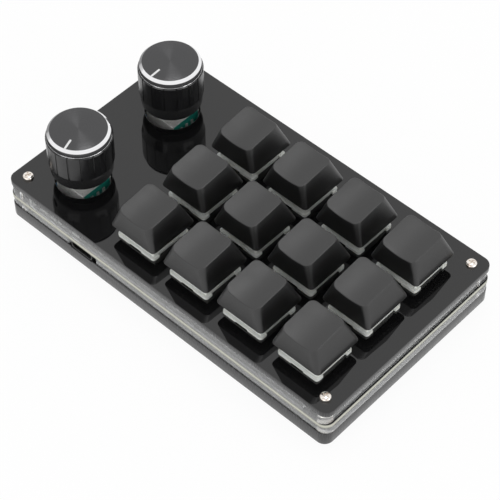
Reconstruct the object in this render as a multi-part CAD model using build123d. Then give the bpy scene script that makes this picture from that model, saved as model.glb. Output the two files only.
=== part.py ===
from build123d import *
import math
import os

# Macro keypad: twelve keys and two push-and-turn knobs on a layered acrylic case.
# Millimetres. +X runs along the long side away from the knobs, the port is on the -Y side,
# +Z is up. The origin is on the table, under the middle of the case.

# Case outline and the layers of its stack, from the table up
case_length = 132.8
case_depth = 75.8
case_corner_radius = 3.2
foot_height = 1.6
bottom_plate_thickness = 5.0
lower_spacer_thickness = 3.0
board_thickness = 1.6
upper_spacer_thickness = 4.0
top_plate_thickness = 2.0

# Spacer frames
spacer_wall = 3.0
spacer_corner_block = 9.6
upper_spacer_setback_x = 0.5
lower_spacer_setback_y = 0.3

# Corner screws, one in each corner block
screw_inset = 4.8
screw_radius = 1.0
screw_hole_clearance = 0.15
screw_head_radius = 1.75
screw_head_height = 1.2
screw_head_edge = 0.45
screw_cross_width = 0.45
screw_cross_length = 2.0
screw_cross_depth = 0.7
nut_across_flats = 4.0
nut_thickness = 1.6
nut_pocket_depth = 1.8
nut_pocket_clearance = 0.1
thread_clearance = 0.04

# Rubber feet
foot_radius = 4.0
foot_edge = 0.5
foot_inset = 13.5

# Key grid: the grid sits a little nearer the port side than the middle of the case
key_columns = 4
key_rows = 3
key_pitch = 21.8
first_key_x = -16.7
grid_centre_y = -1.3

# Switch housing, with heights counted from the top of the top plate
housing_width = 13.9
housing_hole_clearance = 0.05
housing_depth = 5.0
housing_floor = 1.4
housing_cavity_width = 11.6
housing_top_height = 6.4
housing_roof = 1.2
housing_roof_length = 10.6
housing_roof_depth = 9.8
housing_wall = 0.9
flange_width = 15.6
flange_thickness = 1.0
flange_corner_radius = 1.0
flange_side_notch = 0.8
flange_side_notch_width = 10.4
flange_grip_notch = 0.6
flange_grip_notch_width = 4.8
flange_grip_notch_height = 0.45
centre_post_radius = 1.95
centre_post_length = 3.3
spring_boss_radius = 1.75
spring_boss_height = 1.4
guide_bore_radius = 1.03
guide_bore_end = 0.9
guide_end_gap = 0.3
key_travel = 4.0

# Key stem
stem_length = 7.0
stem_depth = 5.6
stem_gap = 0.3
stem_shoulder = 0.9
stem_shoulder_height = 1.8
stem_guide_radius = 0.95
stem_top_above_roof = 0.2
cross_arm_length = 4.0
cross_arm_width = 1.2
cross_height = 3.6

# Key spring
spring_outer_radius = 2.6
spring_inner_radius = 2.05

# Switch contacts: two bent leaves with a soldered pin each
contact_thickness = 0.4
contact_width = 1.6
contact_height = 4.0
contact_foot = 0.4
contact_pin_radius = 0.5
contact_pin_clearance = 0.1
contact_leaf_y = 4.6
contact_near_pin_x = -3.81
contact_near_pin_y = 2.54
contact_far_pin_x = 2.54
contact_far_pin_y = 4.6

# Keycap, with heights counted from the top of the top plate
cap_width = 18.3
cap_corner_radius = 1.4
cap_flange_gap = 0.2
cap_top_width = 12.8
cap_top_length = 13.7
cap_top_shift = -1.15
cap_top_corner_radius = 2.2
cap_top_front_height = 13.3
cap_top_back_height = 14.6
cap_dish_depth = 1.0
cap_wall = 1.3
cap_roof = 1.5
cap_edge_radius = 0.35
cap_post_radius = 2.7
cap_cross_clearance = 0.03
cap_stem_gap = 0.1

# Knobs: two, one behind the other at the end of the key grid
knob_x = -49.0
knob_centre_y = -1.6
knob_spacing = 39.7
knob_radius = 10.4
knob_height = 17.2
knob_bottom_gap = 4.7
knob_face_radius = 8.95
knob_rim_radius = 9.8
knob_rim_height = 0.85
knob_rim_lip = 0.2
knob_groove_radius = 9.4
knob_groove_height = 1.3
knob_band_radius = 10.0
knob_shoulder_height = 2.85
knob_base_radius = 10.2
knob_base_height = 5.1
knob_base_step = 0.3
knob_foot_radius = 9.75
knob_foot_edge = 0.4
knob_flutes = 16
knob_flute_phase = 0.3
knob_flute_width = 0.5
knob_flute_depth = 0.3
knob_recess_radius = 7.0
knob_recess_depth = 1.0
pointer_inner_radius = 4.9
pointer_width = 0.7
pointer_depth = 0.15
pointer_end_radius = 0.33
near_pointer_angle = -71.5
far_pointer_angle = -87.0
deck_hole_radius = 8.9

# Set screw in the base band of each knob
set_screw_angle = -41.0
set_screw_radius = 1.45
set_screw_hole_clearance = 0.05
set_screw_height = 2.6
set_screw_sink = 0.3
set_screw_hex = 1.5
set_screw_hex_depth = 1.6

# Rotary encoder under each knob, with heights counted from the top of the circuit board
encoder_length = 12.0
encoder_depth = 11.0
encoder_base_height = 5.7
bracket_sheet = 0.5
bracket_leg_width = 2.0
bracket_leg_length = 2.2
bracket_leg_clearance = 0.2
bushing_radius = 3.5
bushing_length = 4.3
rotor_radius = 4.6
rotor_thickness = 2.4
rotor_gap = 0.2
rotor_key_flat = 1.6
rotor_key_clearance = 0.06
shaft_radius = 3.0
shaft_key_radius = 2.2
shaft_fit = 0.05
shaft_top_height = 24.3
shaft_flat_depth = 1.4
shaft_flat_length = 12.9
knob_shaft_fit = 0.03
shaft_tip_length = 0.9
knob_push_travel = 0.5
push_end_gap = 0.2

# USB-C inlet under the circuit board, mouth at the -Y side
port_x = -34.0
port_width = 8.94
port_height = 3.26
port_length = 7.3
port_wall = 0.3
port_corner_radius = 1.3
port_mouth_setback = 0.3
port_back_block = 2.6
port_block_clearance = 0.03
tongue_width = 6.7
tongue_thickness = 0.7
tongue_edge_radius = 0.17
tongue_setback = 0.9
port_pocket_clearance = 0.15
port_gap_margin = 1.6

# Parts soldered under the circuit board
chip_length = 9.9
chip_width = 3.9
chip_height = 1.5
chip_x = -34.0
chip_y = -14.0
crystal_length = 5.0
crystal_width = 3.2
crystal_height = 1.1
crystal_gap = 2.0
diode_length = 2.7
diode_width = 1.6
diode_height = 1.1
diode_offset_y = -6.8

# Heights of the layers
z_bottom_plate = foot_height
z_lower_spacer = z_bottom_plate + bottom_plate_thickness
z_board = z_lower_spacer + lower_spacer_thickness
z_upper_spacer = z_board + board_thickness
z_top_plate = z_upper_spacer + upper_spacer_thickness
z_deck = z_top_plate + top_plate_thickness
z_cap_skirt = z_deck + flange_thickness + key_travel + cap_flange_gap

key_places = [
    (first_key_x + column * key_pitch, grid_centre_y + (row - (key_rows - 1) / 2) * key_pitch)
    for row in range(key_rows)
    for column in range(key_columns)
]
knob_places = {
    "near": (knob_x, knob_centre_y - knob_spacing / 2, near_pointer_angle),
    "far": (knob_x, knob_centre_y + knob_spacing / 2, far_pointer_angle),
}


def slab(length, depth, bottom, top, radius=0.0, x=0.0, y=0.0):
    """An upright block between two heights, with rounded corners where a radius is given."""
    outline = RectangleRounded(length, depth, radius) if radius else Rectangle(length, depth)
    return Pos(x, y, bottom) * extrude(outline, amount=top - bottom)


def rod(radius, bottom, top, x=0.0, y=0.0):
    """An upright round rod between two heights."""
    return Pos(x, y, bottom) * extrude(Circle(radius), amount=top - bottom)


def corners(inset):
    """The four places that lie this far in from both edges of the case."""
    reach_x = case_length / 2 - inset
    reach_y = case_depth / 2 - inset
    return [(sx * reach_x, sy * reach_y) for sx in (-1, 1) for sy in (-1, 1)]


def drill_corners(layer, bottom, top):
    """Cuts the four screw holes through a layer."""
    for x, y in corners(screw_inset):
        layer -= rod(screw_radius + screw_hole_clearance, bottom, top, x, y)
    return layer


def frame(bottom, top, setback_x, setback_y):
    """A spacer frame: thin walls, and a solid block at each corner for its screw."""
    length = case_length - 2 * setback_x
    depth = case_depth - 2 * setback_y
    body = slab(length, depth, bottom, top, case_corner_radius)
    inside_length = case_length - 2 * spacer_wall
    inside_depth = case_depth - 2 * spacer_wall
    block_length = case_length - 2 * spacer_corner_block
    block_depth = case_depth - 2 * spacer_corner_block
    body -= slab(inside_length, block_depth, bottom, top)
    body -= slab(block_length, inside_depth, bottom, top)
    return drill_corners(body, bottom, top)


# Case layers

def top_plate():
    body = slab(case_length, case_depth, z_top_plate, z_deck, case_corner_radius)
    hole = housing_width + 2 * housing_hole_clearance
    for x, y in key_places:
        body -= slab(hole, hole, z_top_plate, z_deck, x=x, y=y)
    for x, y, _ in knob_places.values():
        body -= rod(deck_hole_radius, z_top_plate, z_deck, x, y)
    return drill_corners(body, z_top_plate, z_deck)


def upper_spacer():
    return frame(z_upper_spacer, z_top_plate, upper_spacer_setback_x, 0.0)


def lower_spacer():
    body = frame(z_lower_spacer, z_board, 0.0, lower_spacer_setback_y)
    gap = port_width + 2 * port_gap_margin
    wall_y = -case_depth / 2 + spacer_wall / 2
    body -= slab(gap, 2 * spacer_wall, z_lower_spacer, z_board, x=port_x, y=wall_y)
    return body


def circuit_board():
    bottom, top = z_board, z_upper_spacer
    body = slab(case_length, case_depth, bottom, top, case_corner_radius)
    pin_hole = contact_pin_radius + 2 * contact_pin_clearance
    for x, y in key_places:
        body -= rod(centre_post_radius + contact_pin_clearance, bottom, top, x, y)
        body -= rod(pin_hole, bottom, top, x + contact_near_pin_x, y + contact_near_pin_y)
        body -= rod(pin_hole, bottom, top, x + contact_far_pin_x, y + contact_far_pin_y)
    slot_length = bracket_leg_width + 2 * bracket_leg_clearance
    slot_depth = bracket_sheet + 2 * bracket_leg_clearance
    for x, y, _ in knob_places.values():
        for side in (-1, 1):
            leg_y = y + side * (encoder_depth + bracket_sheet) / 2
            body -= slab(slot_length, slot_depth, bottom, top, x=x, y=leg_y)
    return drill_corners(body, bottom, top)


def bottom_plate():
    bottom, top = z_bottom_plate, z_lower_spacer
    body = slab(case_length, case_depth, bottom, top, case_corner_radius)
    flats = nut_across_flats / 2 + nut_pocket_clearance
    for x, y in corners(screw_inset):
        pocket = extrude(RegularPolygon(flats, 6, major_radius=False), amount=nut_pocket_depth)
        body -= Pos(x, y, bottom) * pocket
    shell_bottom = z_board - port_height
    pocket_width = port_width + 2 * port_pocket_clearance
    pocket_reach = port_mouth_setback + port_length + port_pocket_clearance
    pocket_y = -case_depth / 2 + pocket_reach / 2
    floor = shell_bottom - port_pocket_clearance
    body -= slab(pocket_width, pocket_reach, floor, top, x=port_x, y=pocket_y)
    return drill_corners(body, bottom, top)


def corner_screws():
    nut_face = z_bottom_plate + nut_pocket_depth - nut_thickness
    head = rod(screw_head_radius, z_deck, z_deck + screw_head_height)
    head = fillet(head.edges().group_by(Axis.Z)[-1], screw_head_edge)
    head_top = z_deck + screw_head_height
    for length, depth in ((screw_cross_length, screw_cross_width), (screw_cross_width, screw_cross_length)):
        head -= slab(length, depth, head_top - screw_cross_depth, head_top)
    screw = head + rod(screw_radius, nut_face, z_deck)
    return [Pos(x, y, 0) * screw for x, y in corners(screw_inset)]


def corner_nuts():
    top = z_bottom_plate + nut_pocket_depth
    nut = extrude(RegularPolygon(nut_across_flats / 2, 6, major_radius=False), amount=nut_thickness)
    nut = Pos(0, 0, top - nut_thickness) * nut
    nut -= rod(screw_radius + thread_clearance, top - nut_thickness, top)
    return [Pos(x, y, 0) * nut for x, y in corners(screw_inset)]


def rubber_feet():
    foot = rod(foot_radius, 0, foot_height)
    foot = fillet(foot.edges().group_by(Axis.Z)[0], foot_edge)
    return [Pos(x, y, 0) * foot for x, y in corners(foot_inset)]


# Inlet and electronics under the board

def port_profile(width, height, radius, start, length):
    """A rounded block that lies along +Y, its middle on the inlet's own middle."""
    middle = z_board - port_height / 2
    mouth = Plane(origin=(port_x, start, middle), x_dir=(1, 0, 0), z_dir=(0, 1, 0))
    return extrude(mouth * RectangleRounded(width, height, radius), amount=length)


def usb_shell():
    start = -case_depth / 2 + port_mouth_setback
    outer = port_profile(port_width, port_height, port_corner_radius, start, port_length)
    inner_width = port_width - 2 * port_wall
    inner_height = port_height - 2 * port_wall
    inner_radius = port_corner_radius - port_wall
    inner = port_profile(inner_width, inner_height, inner_radius, start, port_length - port_wall)
    return outer - inner


def usb_tongue():
    start = -case_depth / 2 + port_mouth_setback
    back = start + port_length - port_wall
    shrink = 2 * (port_wall + port_block_clearance)
    block = port_profile(
        port_width - shrink,
        port_height - shrink,
        port_corner_radius - port_wall - port_block_clearance,
        back - port_back_block,
        port_back_block,
    )
    tongue_length = port_length - port_wall - tongue_setback
    tongue = port_profile(
        tongue_width, tongue_thickness, tongue_edge_radius, start + tongue_setback, tongue_length
    )
    return block + tongue


def board_electronics():
    chip = slab(chip_length, chip_width, z_board - chip_height, z_board, x=chip_x, y=chip_y)
    crystal_x = chip_x + (chip_length + crystal_length) / 2 + crystal_gap
    crystal = slab(
        crystal_length, crystal_width, z_board - crystal_height, z_board, x=crystal_x, y=chip_y
    )
    diodes = [
        slab(diode_length, diode_width, z_board - diode_height, z_board, x=x, y=y + diode_offset_y)
        for x, y in key_places
    ]
    return [chip, crystal] + diodes


# Switches

def lower_housing():
    bottom = z_deck - housing_depth
    floor_top = bottom + housing_floor
    flange_top = z_deck + flange_thickness
    body = slab(housing_width, housing_width, bottom, z_deck)
    body += slab(flange_width, flange_width, z_deck, flange_top, flange_corner_radius)
    side = flange_width / 2
    for sign in (-1, 1):
        notch_x = sign * (side - flange_side_notch / 2)
        body -= slab(flange_side_notch, flange_side_notch_width, z_deck, flange_top, x=notch_x)
        notch_y = sign * (side - flange_grip_notch / 2)
        grip_top = z_deck + flange_grip_notch_height
        body -= slab(flange_grip_notch_width, flange_grip_notch, z_deck, grip_top, y=notch_y)
    body -= slab(housing_cavity_width, housing_cavity_width, floor_top, flange_top)
    body += rod(spring_boss_radius, floor_top, floor_top + spring_boss_height)
    body += rod(centre_post_radius, bottom - centre_post_length, bottom)
    bore_bottom = bottom - centre_post_length + guide_bore_end
    body -= rod(guide_bore_radius, bore_bottom, floor_top + spring_boss_height)
    pin_hole = contact_pin_radius + contact_pin_clearance
    body -= rod(pin_hole, bottom, floor_top, contact_near_pin_x, contact_near_pin_y)
    body -= rod(pin_hole, bottom, floor_top, contact_far_pin_x, contact_far_pin_y)
    return body


def tapered(length, depth, top_length, top_depth, bottom, top):
    """A block that tapers from one rectangle to another."""
    lower = Pos(0, 0, bottom) * Rectangle(length, depth)
    upper = Pos(0, 0, top) * Rectangle(top_length, top_depth)
    return loft([lower, upper], ruled=True)


def upper_housing():
    bottom = z_deck + flange_thickness
    top = z_deck + housing_top_height
    body = tapered(housing_width, housing_width, housing_roof_length, housing_roof_depth, bottom, top)
    shrink = 2 * housing_wall
    body -= tapered(
        housing_width - shrink,
        housing_width - shrink,
        housing_roof_length - shrink,
        housing_roof_depth - shrink,
        bottom,
        top - housing_roof,
    )
    body -= slab(stem_length + 2 * stem_gap, stem_depth + 2 * stem_gap, bottom, top)
    return body


def contacts():
    """The two contacts of one switch, as separate solids."""
    floor_top = z_deck - housing_depth + housing_floor
    pin_bottom = z_deck - housing_depth - centre_post_length
    solids = []
    for pin_x, pin_y in (
        (contact_near_pin_x, contact_near_pin_y),
        (contact_far_pin_x, contact_far_pin_y),
    ):
        leaf = slab(
            contact_width, contact_thickness, floor_top, floor_top + contact_height, x=pin_x, y=contact_leaf_y
        )
        foot_front = pin_y - contact_pin_radius
        foot_back = contact_leaf_y + contact_thickness / 2
        foot = slab(
            contact_width,
            foot_back - foot_front,
            floor_top,
            floor_top + contact_foot,
            x=pin_x,
            y=(foot_front + foot_back) / 2,
        )
        solids.append(leaf + foot + rod(contact_pin_radius, pin_bottom, floor_top, pin_x, pin_y))
    return solids


def stem():
    roof_underside = z_deck + housing_top_height - housing_roof
    top = z_deck + housing_top_height + stem_top_above_roof
    shoulder_bottom = roof_underside - stem_shoulder_height
    body = slab(stem_length, stem_depth, shoulder_bottom, top)
    shoulder_length = stem_length + 2 * stem_shoulder
    body += slab(shoulder_length, stem_depth, shoulder_bottom, roof_underside)
    body += slab(cross_arm_length, cross_arm_width, top, top + cross_height)
    body += slab(cross_arm_width, cross_arm_length, top, top + cross_height)
    bore_bottom = z_deck - housing_depth - centre_post_length + guide_bore_end
    body += rod(stem_guide_radius, bore_bottom + guide_end_gap + key_travel, shoulder_bottom)
    return body


def spring():
    bottom = z_deck - housing_depth + housing_floor
    top = z_deck + housing_top_height - housing_roof - stem_shoulder_height
    return rod(spring_outer_radius, bottom, top) - rod(spring_inner_radius, bottom, top)


def cap_top_plane(drop=0.0):
    """The tilted plane of the cap's top edge, lowered by drop along its own normal."""
    rise = cap_top_back_height - cap_top_front_height
    tilt = math.asin(rise / cap_top_length)
    middle = z_deck + (cap_top_front_height + cap_top_back_height) / 2
    normal = (0, -math.sin(tilt), math.cos(tilt))
    origin = (0, cap_top_shift - drop * normal[1], middle - drop * normal[2])
    return Plane(origin=origin, x_dir=(1, 0, 0), z_dir=normal)


def cap_block(inset, drop, bottom, bottom_radius, top_radius):
    """The cap's outer or inner form: a rounded square that narrows to its tilted top."""
    skirt = Pos(0, 0, bottom) * RectangleRounded(
        cap_width - 2 * inset, cap_width - 2 * inset, bottom_radius
    )
    top = cap_top_plane(drop) * RectangleRounded(
        cap_top_width - 2 * inset, cap_top_length - 2 * inset, top_radius
    )
    return loft([skirt, top], ruled=True)


def keycap():
    bottom = z_cap_skirt
    outer = cap_block(0, 0, bottom, cap_corner_radius, cap_top_corner_radius)
    chord = cap_top_width / 2 + cap_edge_radius / 2
    dish_radius = (chord**2 + cap_dish_depth**2) / (2 * cap_dish_depth)
    plane = cap_top_plane()
    axis_start = plane.from_local_coords((0, -cap_width, dish_radius - cap_dish_depth))
    dish_plane = Plane(origin=axis_start, x_dir=(1, 0, 0), z_dir=plane.y_dir)
    dish = extrude(dish_plane * Circle(dish_radius), amount=2 * cap_width)
    outer -= dish
    top_edges = [
        edge for edge in outer.edges() if edge.center().Z > z_deck + cap_top_front_height - 2 * cap_dish_depth
    ]
    outer = fillet(top_edges, cap_edge_radius)
    inner = cap_block(
        cap_wall,
        cap_dish_depth + cap_roof,
        bottom,
        cap_corner_radius - cap_wall / 2,
        cap_top_corner_radius - cap_wall,
    )
    stem_top = z_deck + housing_top_height + stem_top_above_roof
    post_bottom = stem_top + cap_stem_gap
    roof = plane.from_local_coords((0, -cap_top_shift, -cap_dish_depth - cap_roof / 2)).Z
    post = rod(cap_post_radius, post_bottom, roof)
    slot_top = stem_top + cross_height + cap_stem_gap
    arm_length = cross_arm_length + 2 * cap_cross_clearance
    arm_width = cross_arm_width + 2 * cap_cross_clearance
    post -= slab(arm_length, arm_width, post_bottom, slot_top)
    post -= slab(arm_width, arm_length, post_bottom, slot_top)
    return (outer - inner) + post


# Knobs and their encoders

def encoder_base():
    bottom = z_upper_spacer
    top = bottom + encoder_base_height
    body = slab(encoder_length, encoder_depth, bottom, top)
    cavity_bottom = top - rotor_thickness - 2 * rotor_gap
    body -= rod(rotor_radius + rotor_gap, cavity_bottom, top)
    well = shaft_tip_length + knob_push_travel + push_end_gap
    body -= rod(shaft_key_radius + rotor_gap, cavity_bottom - well + rotor_gap, cavity_bottom)
    return body


def encoder_bracket():
    plate_bottom = z_upper_spacer + encoder_base_height
    plate_top = plate_bottom + bracket_sheet
    body = slab(encoder_length, encoder_depth + 2 * bracket_sheet, plate_bottom, plate_top)
    for side in (-1, 1):
        flap_y = side * (encoder_depth + bracket_sheet) / 2
        body += slab(encoder_length, bracket_sheet, z_upper_spacer, plate_top, y=flap_y)
        leg_bottom = z_upper_spacer - bracket_leg_length
        body += slab(bracket_leg_width, bracket_sheet, leg_bottom, z_upper_spacer, y=flap_y)
    body += rod(bushing_radius, plate_top, plate_top + bushing_length)
    body -= rod(shaft_radius + shaft_fit, plate_bottom, plate_top + bushing_length)
    return body


def key_section(clearance, bottom, top):
    """A round section with two flats, which turns the rotor but slides through it."""
    across = 2 * (rotor_key_flat + clearance)
    body = rod(shaft_key_radius + clearance, bottom, top)
    return body & slab(across, 4 * shaft_key_radius, bottom, top)


def encoder_rotor():
    top = z_upper_spacer + encoder_base_height - rotor_gap
    bottom = top - rotor_thickness
    return rod(rotor_radius, bottom, top) - key_section(rotor_key_clearance, bottom, top)


def encoder_shaft():
    top = z_upper_spacer + shaft_top_height
    rotor_top = z_upper_spacer + encoder_base_height - rotor_gap
    rotor_bottom = rotor_top - rotor_thickness
    body = key_section(0, rotor_bottom - shaft_tip_length, rotor_top + knob_push_travel + rotor_gap)
    body += rod(shaft_radius, rotor_top + knob_push_travel + rotor_gap, top)
    flat_x = shaft_radius - shaft_flat_depth / 2
    body -= slab(shaft_flat_depth, 2 * shaft_radius, top - shaft_flat_length, top, x=flat_x)
    return body


def knob():
    bottom = z_deck + knob_bottom_gap
    top = bottom + knob_height
    shoulder = top - knob_shoulder_height
    rim_bottom = top - knob_rim_height
    groove_top = rim_bottom - knob_rim_lip
    groove_bottom = groove_top - knob_groove_height
    base_top = bottom + knob_base_height
    with_profile = Polyline(
        (0, top),
        (knob_face_radius, top),
        (knob_rim_radius, rim_bottom),
        (knob_rim_radius, groove_top),
        (knob_groove_radius, groove_top),
        (knob_groove_radius, groove_bottom),
        (knob_band_radius, groove_bottom),
        (knob_radius, shoulder),
        (knob_radius, base_top),
        (knob_base_radius, base_top - knob_base_step),
        (knob_foot_radius, bottom + knob_foot_edge),
        (knob_foot_radius - knob_foot_edge, bottom),
        (knob_recess_radius, bottom),
        (knob_recess_radius, bottom + knob_recess_depth),
        (0, bottom + knob_recess_depth),
        close=True,
    )
    body = revolve(Plane.XZ * make_face(with_profile), Axis.Z)
    flute = rod(knob_flute_width / 2, base_top, shoulder + knob_shoulder_height)
    flute_reach = knob_radius - knob_flute_depth + knob_flute_width / 2
    for number in range(knob_flutes):
        body -= Rot(0, 0, (number + knob_flute_phase) * 360 / knob_flutes) * Pos(flute_reach, 0, 0) * flute
    bore = shaft_section(bottom, z_upper_spacer + shaft_top_height + knob_shaft_fit)
    body -= bore
    slot_length = knob_face_radius - pointer_inner_radius
    slot_x = (knob_face_radius + pointer_inner_radius) / 2
    body -= slab(slot_length, pointer_width, top - pointer_depth, top, pointer_end_radius, x=slot_x)
    screw_z = bottom + set_screw_height
    hole = Rot(0, 0, set_screw_angle) * Pos(0, 0, screw_z) * Rot(0, 90, 0) * extrude(
        Circle(set_screw_radius + set_screw_hole_clearance), amount=knob_radius
    )
    return body - hole


def shaft_section(bottom, top):
    """The knob's bore: round, with a flat that faces its set screw."""
    radius = shaft_radius + knob_shaft_fit
    bore = rod(radius, bottom, top)
    flat_side = radius - (shaft_radius - shaft_flat_depth + knob_shaft_fit)
    flat_x = radius - flat_side / 2
    flat_bottom = z_upper_spacer + shaft_top_height - shaft_flat_length
    flat = slab(flat_side, 2 * radius, flat_bottom, top, x=flat_x)
    return Rot(0, 0, set_screw_angle) * (bore - flat)


def set_screw():
    height = z_deck + knob_bottom_gap + set_screw_height
    inner = shaft_radius - shaft_flat_depth
    outer = knob_foot_radius - set_screw_sink
    body = extrude(Circle(set_screw_radius), amount=outer - inner)
    socket = extrude(RegularPolygon(set_screw_hex / 2, 6, major_radius=False), amount=set_screw_hex_depth)
    body -= Pos(0, 0, outer - inner - set_screw_hex_depth) * socket
    return Rot(0, 0, set_screw_angle) * Pos(0, 0, height) * Rot(0, 90, 0) * Pos(0, 0, inner) * body


def save(name, shape):
    """Writes one named sub-part, which is one solid or a list of separate solids."""
    if isinstance(shape, list):
        shape = Compound(shape)
    export_step(shape, f"parts/{name}.step")


def main():
    os.makedirs("parts", exist_ok=True)
    save("top_plate", top_plate())
    save("upper_spacer", upper_spacer())
    save("circuit_board", circuit_board())
    save("lower_spacer", lower_spacer())
    save("bottom_plate", bottom_plate())
    save("corner_screws", corner_screws())
    save("corner_nuts", corner_nuts())
    save("rubber_feet", rubber_feet())
    save("usb_shell", usb_shell())
    save("usb_tongue", usb_tongue())
    save("board_electronics", board_electronics())

    lower, upper, leaves = lower_housing(), upper_housing(), contacts()
    save("switch_lower_housings", [Pos(x, y, 0) * lower for x, y in key_places])
    save("switch_upper_housings", [Pos(x, y, 0) * upper for x, y in key_places])
    save("switch_contacts", [Pos(x, y, 0) * leaf for x, y in key_places for leaf in leaves])
    pieces = {"key_stem": stem(), "key_spring": spring(), "keycap": keycap()}
    for number, (x, y) in enumerate(key_places, start=1):
        for name, piece in pieces.items():
            save(f"{name}_{number:02d}", Pos(x, y, 0) * piece)

    base, bracket = encoder_base(), encoder_bracket()
    save("encoder_bases", [Pos(x, y, 0) * base for x, y, _ in knob_places.values()])
    save("encoder_brackets", [Pos(x, y, 0) * bracket for x, y, _ in knob_places.values()])
    turning = {"knob": knob(), "knob_set_screw": set_screw()}
    for side, (x, y, angle) in knob_places.items():
        place = Pos(x, y, 0) * Rot(0, 0, angle)
        key_turn = place * Rot(0, 0, set_screw_angle)
        save(f"encoder_rotor_{side}", key_turn * encoder_rotor())
        save(f"encoder_shaft_{side}", key_turn * encoder_shaft())
        for name, piece in turning.items():
            save(f"{name}_{side}", place * piece)


main()
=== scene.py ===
"""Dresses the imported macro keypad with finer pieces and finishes, and sets up its studio and camera.

Classes hold their sizes in millimetres, and a mesh becomes metres when it is finished. +X runs along the
long side away from the knobs, the inlet is on the -Y side and +Z is up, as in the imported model.
"""

import logging
import math
from collections.abc import Callable, Sequence
from dataclasses import dataclass
from enum import Enum, IntEnum
from typing import Any

import bmesh
import bpy
from mathutils import Matrix, Vector


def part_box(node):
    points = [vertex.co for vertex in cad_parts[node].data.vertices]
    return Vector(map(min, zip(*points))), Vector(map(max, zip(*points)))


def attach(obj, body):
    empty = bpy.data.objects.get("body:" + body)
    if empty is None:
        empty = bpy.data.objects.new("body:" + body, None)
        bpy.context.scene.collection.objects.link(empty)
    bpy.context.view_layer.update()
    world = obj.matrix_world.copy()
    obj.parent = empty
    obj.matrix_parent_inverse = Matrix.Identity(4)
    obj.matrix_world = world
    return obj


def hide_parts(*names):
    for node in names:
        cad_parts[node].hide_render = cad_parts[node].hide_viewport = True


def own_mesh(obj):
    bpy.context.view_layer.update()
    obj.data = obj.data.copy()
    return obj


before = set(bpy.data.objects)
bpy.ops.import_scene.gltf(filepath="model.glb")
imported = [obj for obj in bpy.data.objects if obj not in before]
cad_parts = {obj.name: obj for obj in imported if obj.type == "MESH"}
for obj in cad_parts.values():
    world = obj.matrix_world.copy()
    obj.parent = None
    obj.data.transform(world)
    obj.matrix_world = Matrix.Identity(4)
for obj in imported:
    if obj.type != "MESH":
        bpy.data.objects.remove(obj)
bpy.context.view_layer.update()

LOG = logging.getLogger("macro_keypad")
CASE = "case"
KEY_NUMBERS = tuple(f"{number:02d}" for number in range(1, 13))
KEY_GRID = (4, 3)
MM = 0.001
FULL_TURN = 2 * math.pi
QUARTER_TURN = math.pi / 2
SHARP_ANGLE = math.radians(38)
FLAT_ANGLE = math.radians(1)

# A slab's mitres and rounded edges, how far a cutter reaches past what it cuts, and the copies' turns
MITRE_LIMIT = 0.3
EDGE_STEPS = 3
OVERSHOOT = 1.0
TURN_SEED = 7

Point = tuple[float, float]
Colour = tuple[float, float, float]
Size = tuple[float, float, float]
Profile = list[tuple[float, float, int]]
Material = bpy.types.Material
Piece = bpy.types.Object
Socket = bpy.types.NodeSocket


class Side(str, Enum):
    """Which of the two knobs a piece belongs to."""

    NEAR = "near"
    FAR = "far"


class Slot(str, Enum):
    """The record's material slots that match the new pieces' finishes."""

    BLACK_ACRYLIC = "black_acrylic"
    CLEAR_ACRYLIC = "clear_acrylic"
    BOARD = "board_laminate"
    SCREW = "screw_steel"
    RUBBER = "foot_rubber"
    PORT_STEEL = "port_steel"
    PORT_BLACK = "port_black"
    SWITCH = "switch_white"
    SPRING = "spring_steel"
    CAP = "cap_plastic"
    TEAL = "encoder_teal"
    ENCODER_STEEL = "encoder_steel"
    KNOB = "knob_black"


class Skin(IntEnum):
    """The two finishes of a cut sheet."""

    FACE = 0
    EDGE = 1


class Band(IntEnum):
    """The finishes of a knob from its top down."""

    SPUN_TOP = 0
    BRIGHT_RIM = 1
    GROOVE = 2
    GRIP = 3
    BASE = 4
    HOLLOW = 5
    POINTER = 6


@dataclass(frozen=True)
class Extent:
    """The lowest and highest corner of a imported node, in millimetres."""

    low: Vector
    high: Vector

    @classmethod
    def of(cls, node: str) -> "Extent":
        """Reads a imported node's box at rest."""
        low, high = (Vector(corner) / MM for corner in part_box(node))
        return cls(low, high)

    @property
    def size(self) -> Vector:
        """The length along each axis."""
        return self.high - self.low

    @property
    def middle(self) -> Vector:
        """The point halfway between the two corners."""
        return (self.low + self.high) / 2


def knob_axis(side: Side) -> Vector:
    """The middle of an encoder's rotor, which lies on its knob's axis."""
    return Extent.of(f"encoder_rotor_{side.value}").middle


def key_axes() -> list[Vector]:
    """The middle of each key's spring, in the keys' order."""
    return [Extent.of(f"key_spring_{number}").middle for number in KEY_NUMBERS]


def metres(values: Sequence[float]) -> tuple[float, ...]:
    """Turns millimetres into metres."""
    return tuple(value * MM for value in values)


# Outlines in plan


def even_angles(steps: int) -> list[float]:
    """So many angles, evenly spaced over a full turn."""
    return [FULL_TURN * step / steps for step in range(steps)]


def circle_outline(
    radius: float, centre: Sequence[float] = (0.0, 0.0), steps: int = 48, start: float = 0.0
) -> list[Point]:
    """A circle, or a regular polygon, as a closed list of points, anticlockwise."""
    angles = [start + angle for angle in even_angles(steps)]
    return [(centre[0] + radius * math.cos(a), centre[1] + radius * math.sin(a)) for a in angles]


def hexagon_outline(flats: float, centre: Sequence[float] = (0.0, 0.0)) -> list[Point]:
    """A regular hexagon by its width across flats."""
    half_side = math.pi / 6
    return circle_outline(flats / 2 / math.cos(half_side), centre, 6, half_side)


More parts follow.
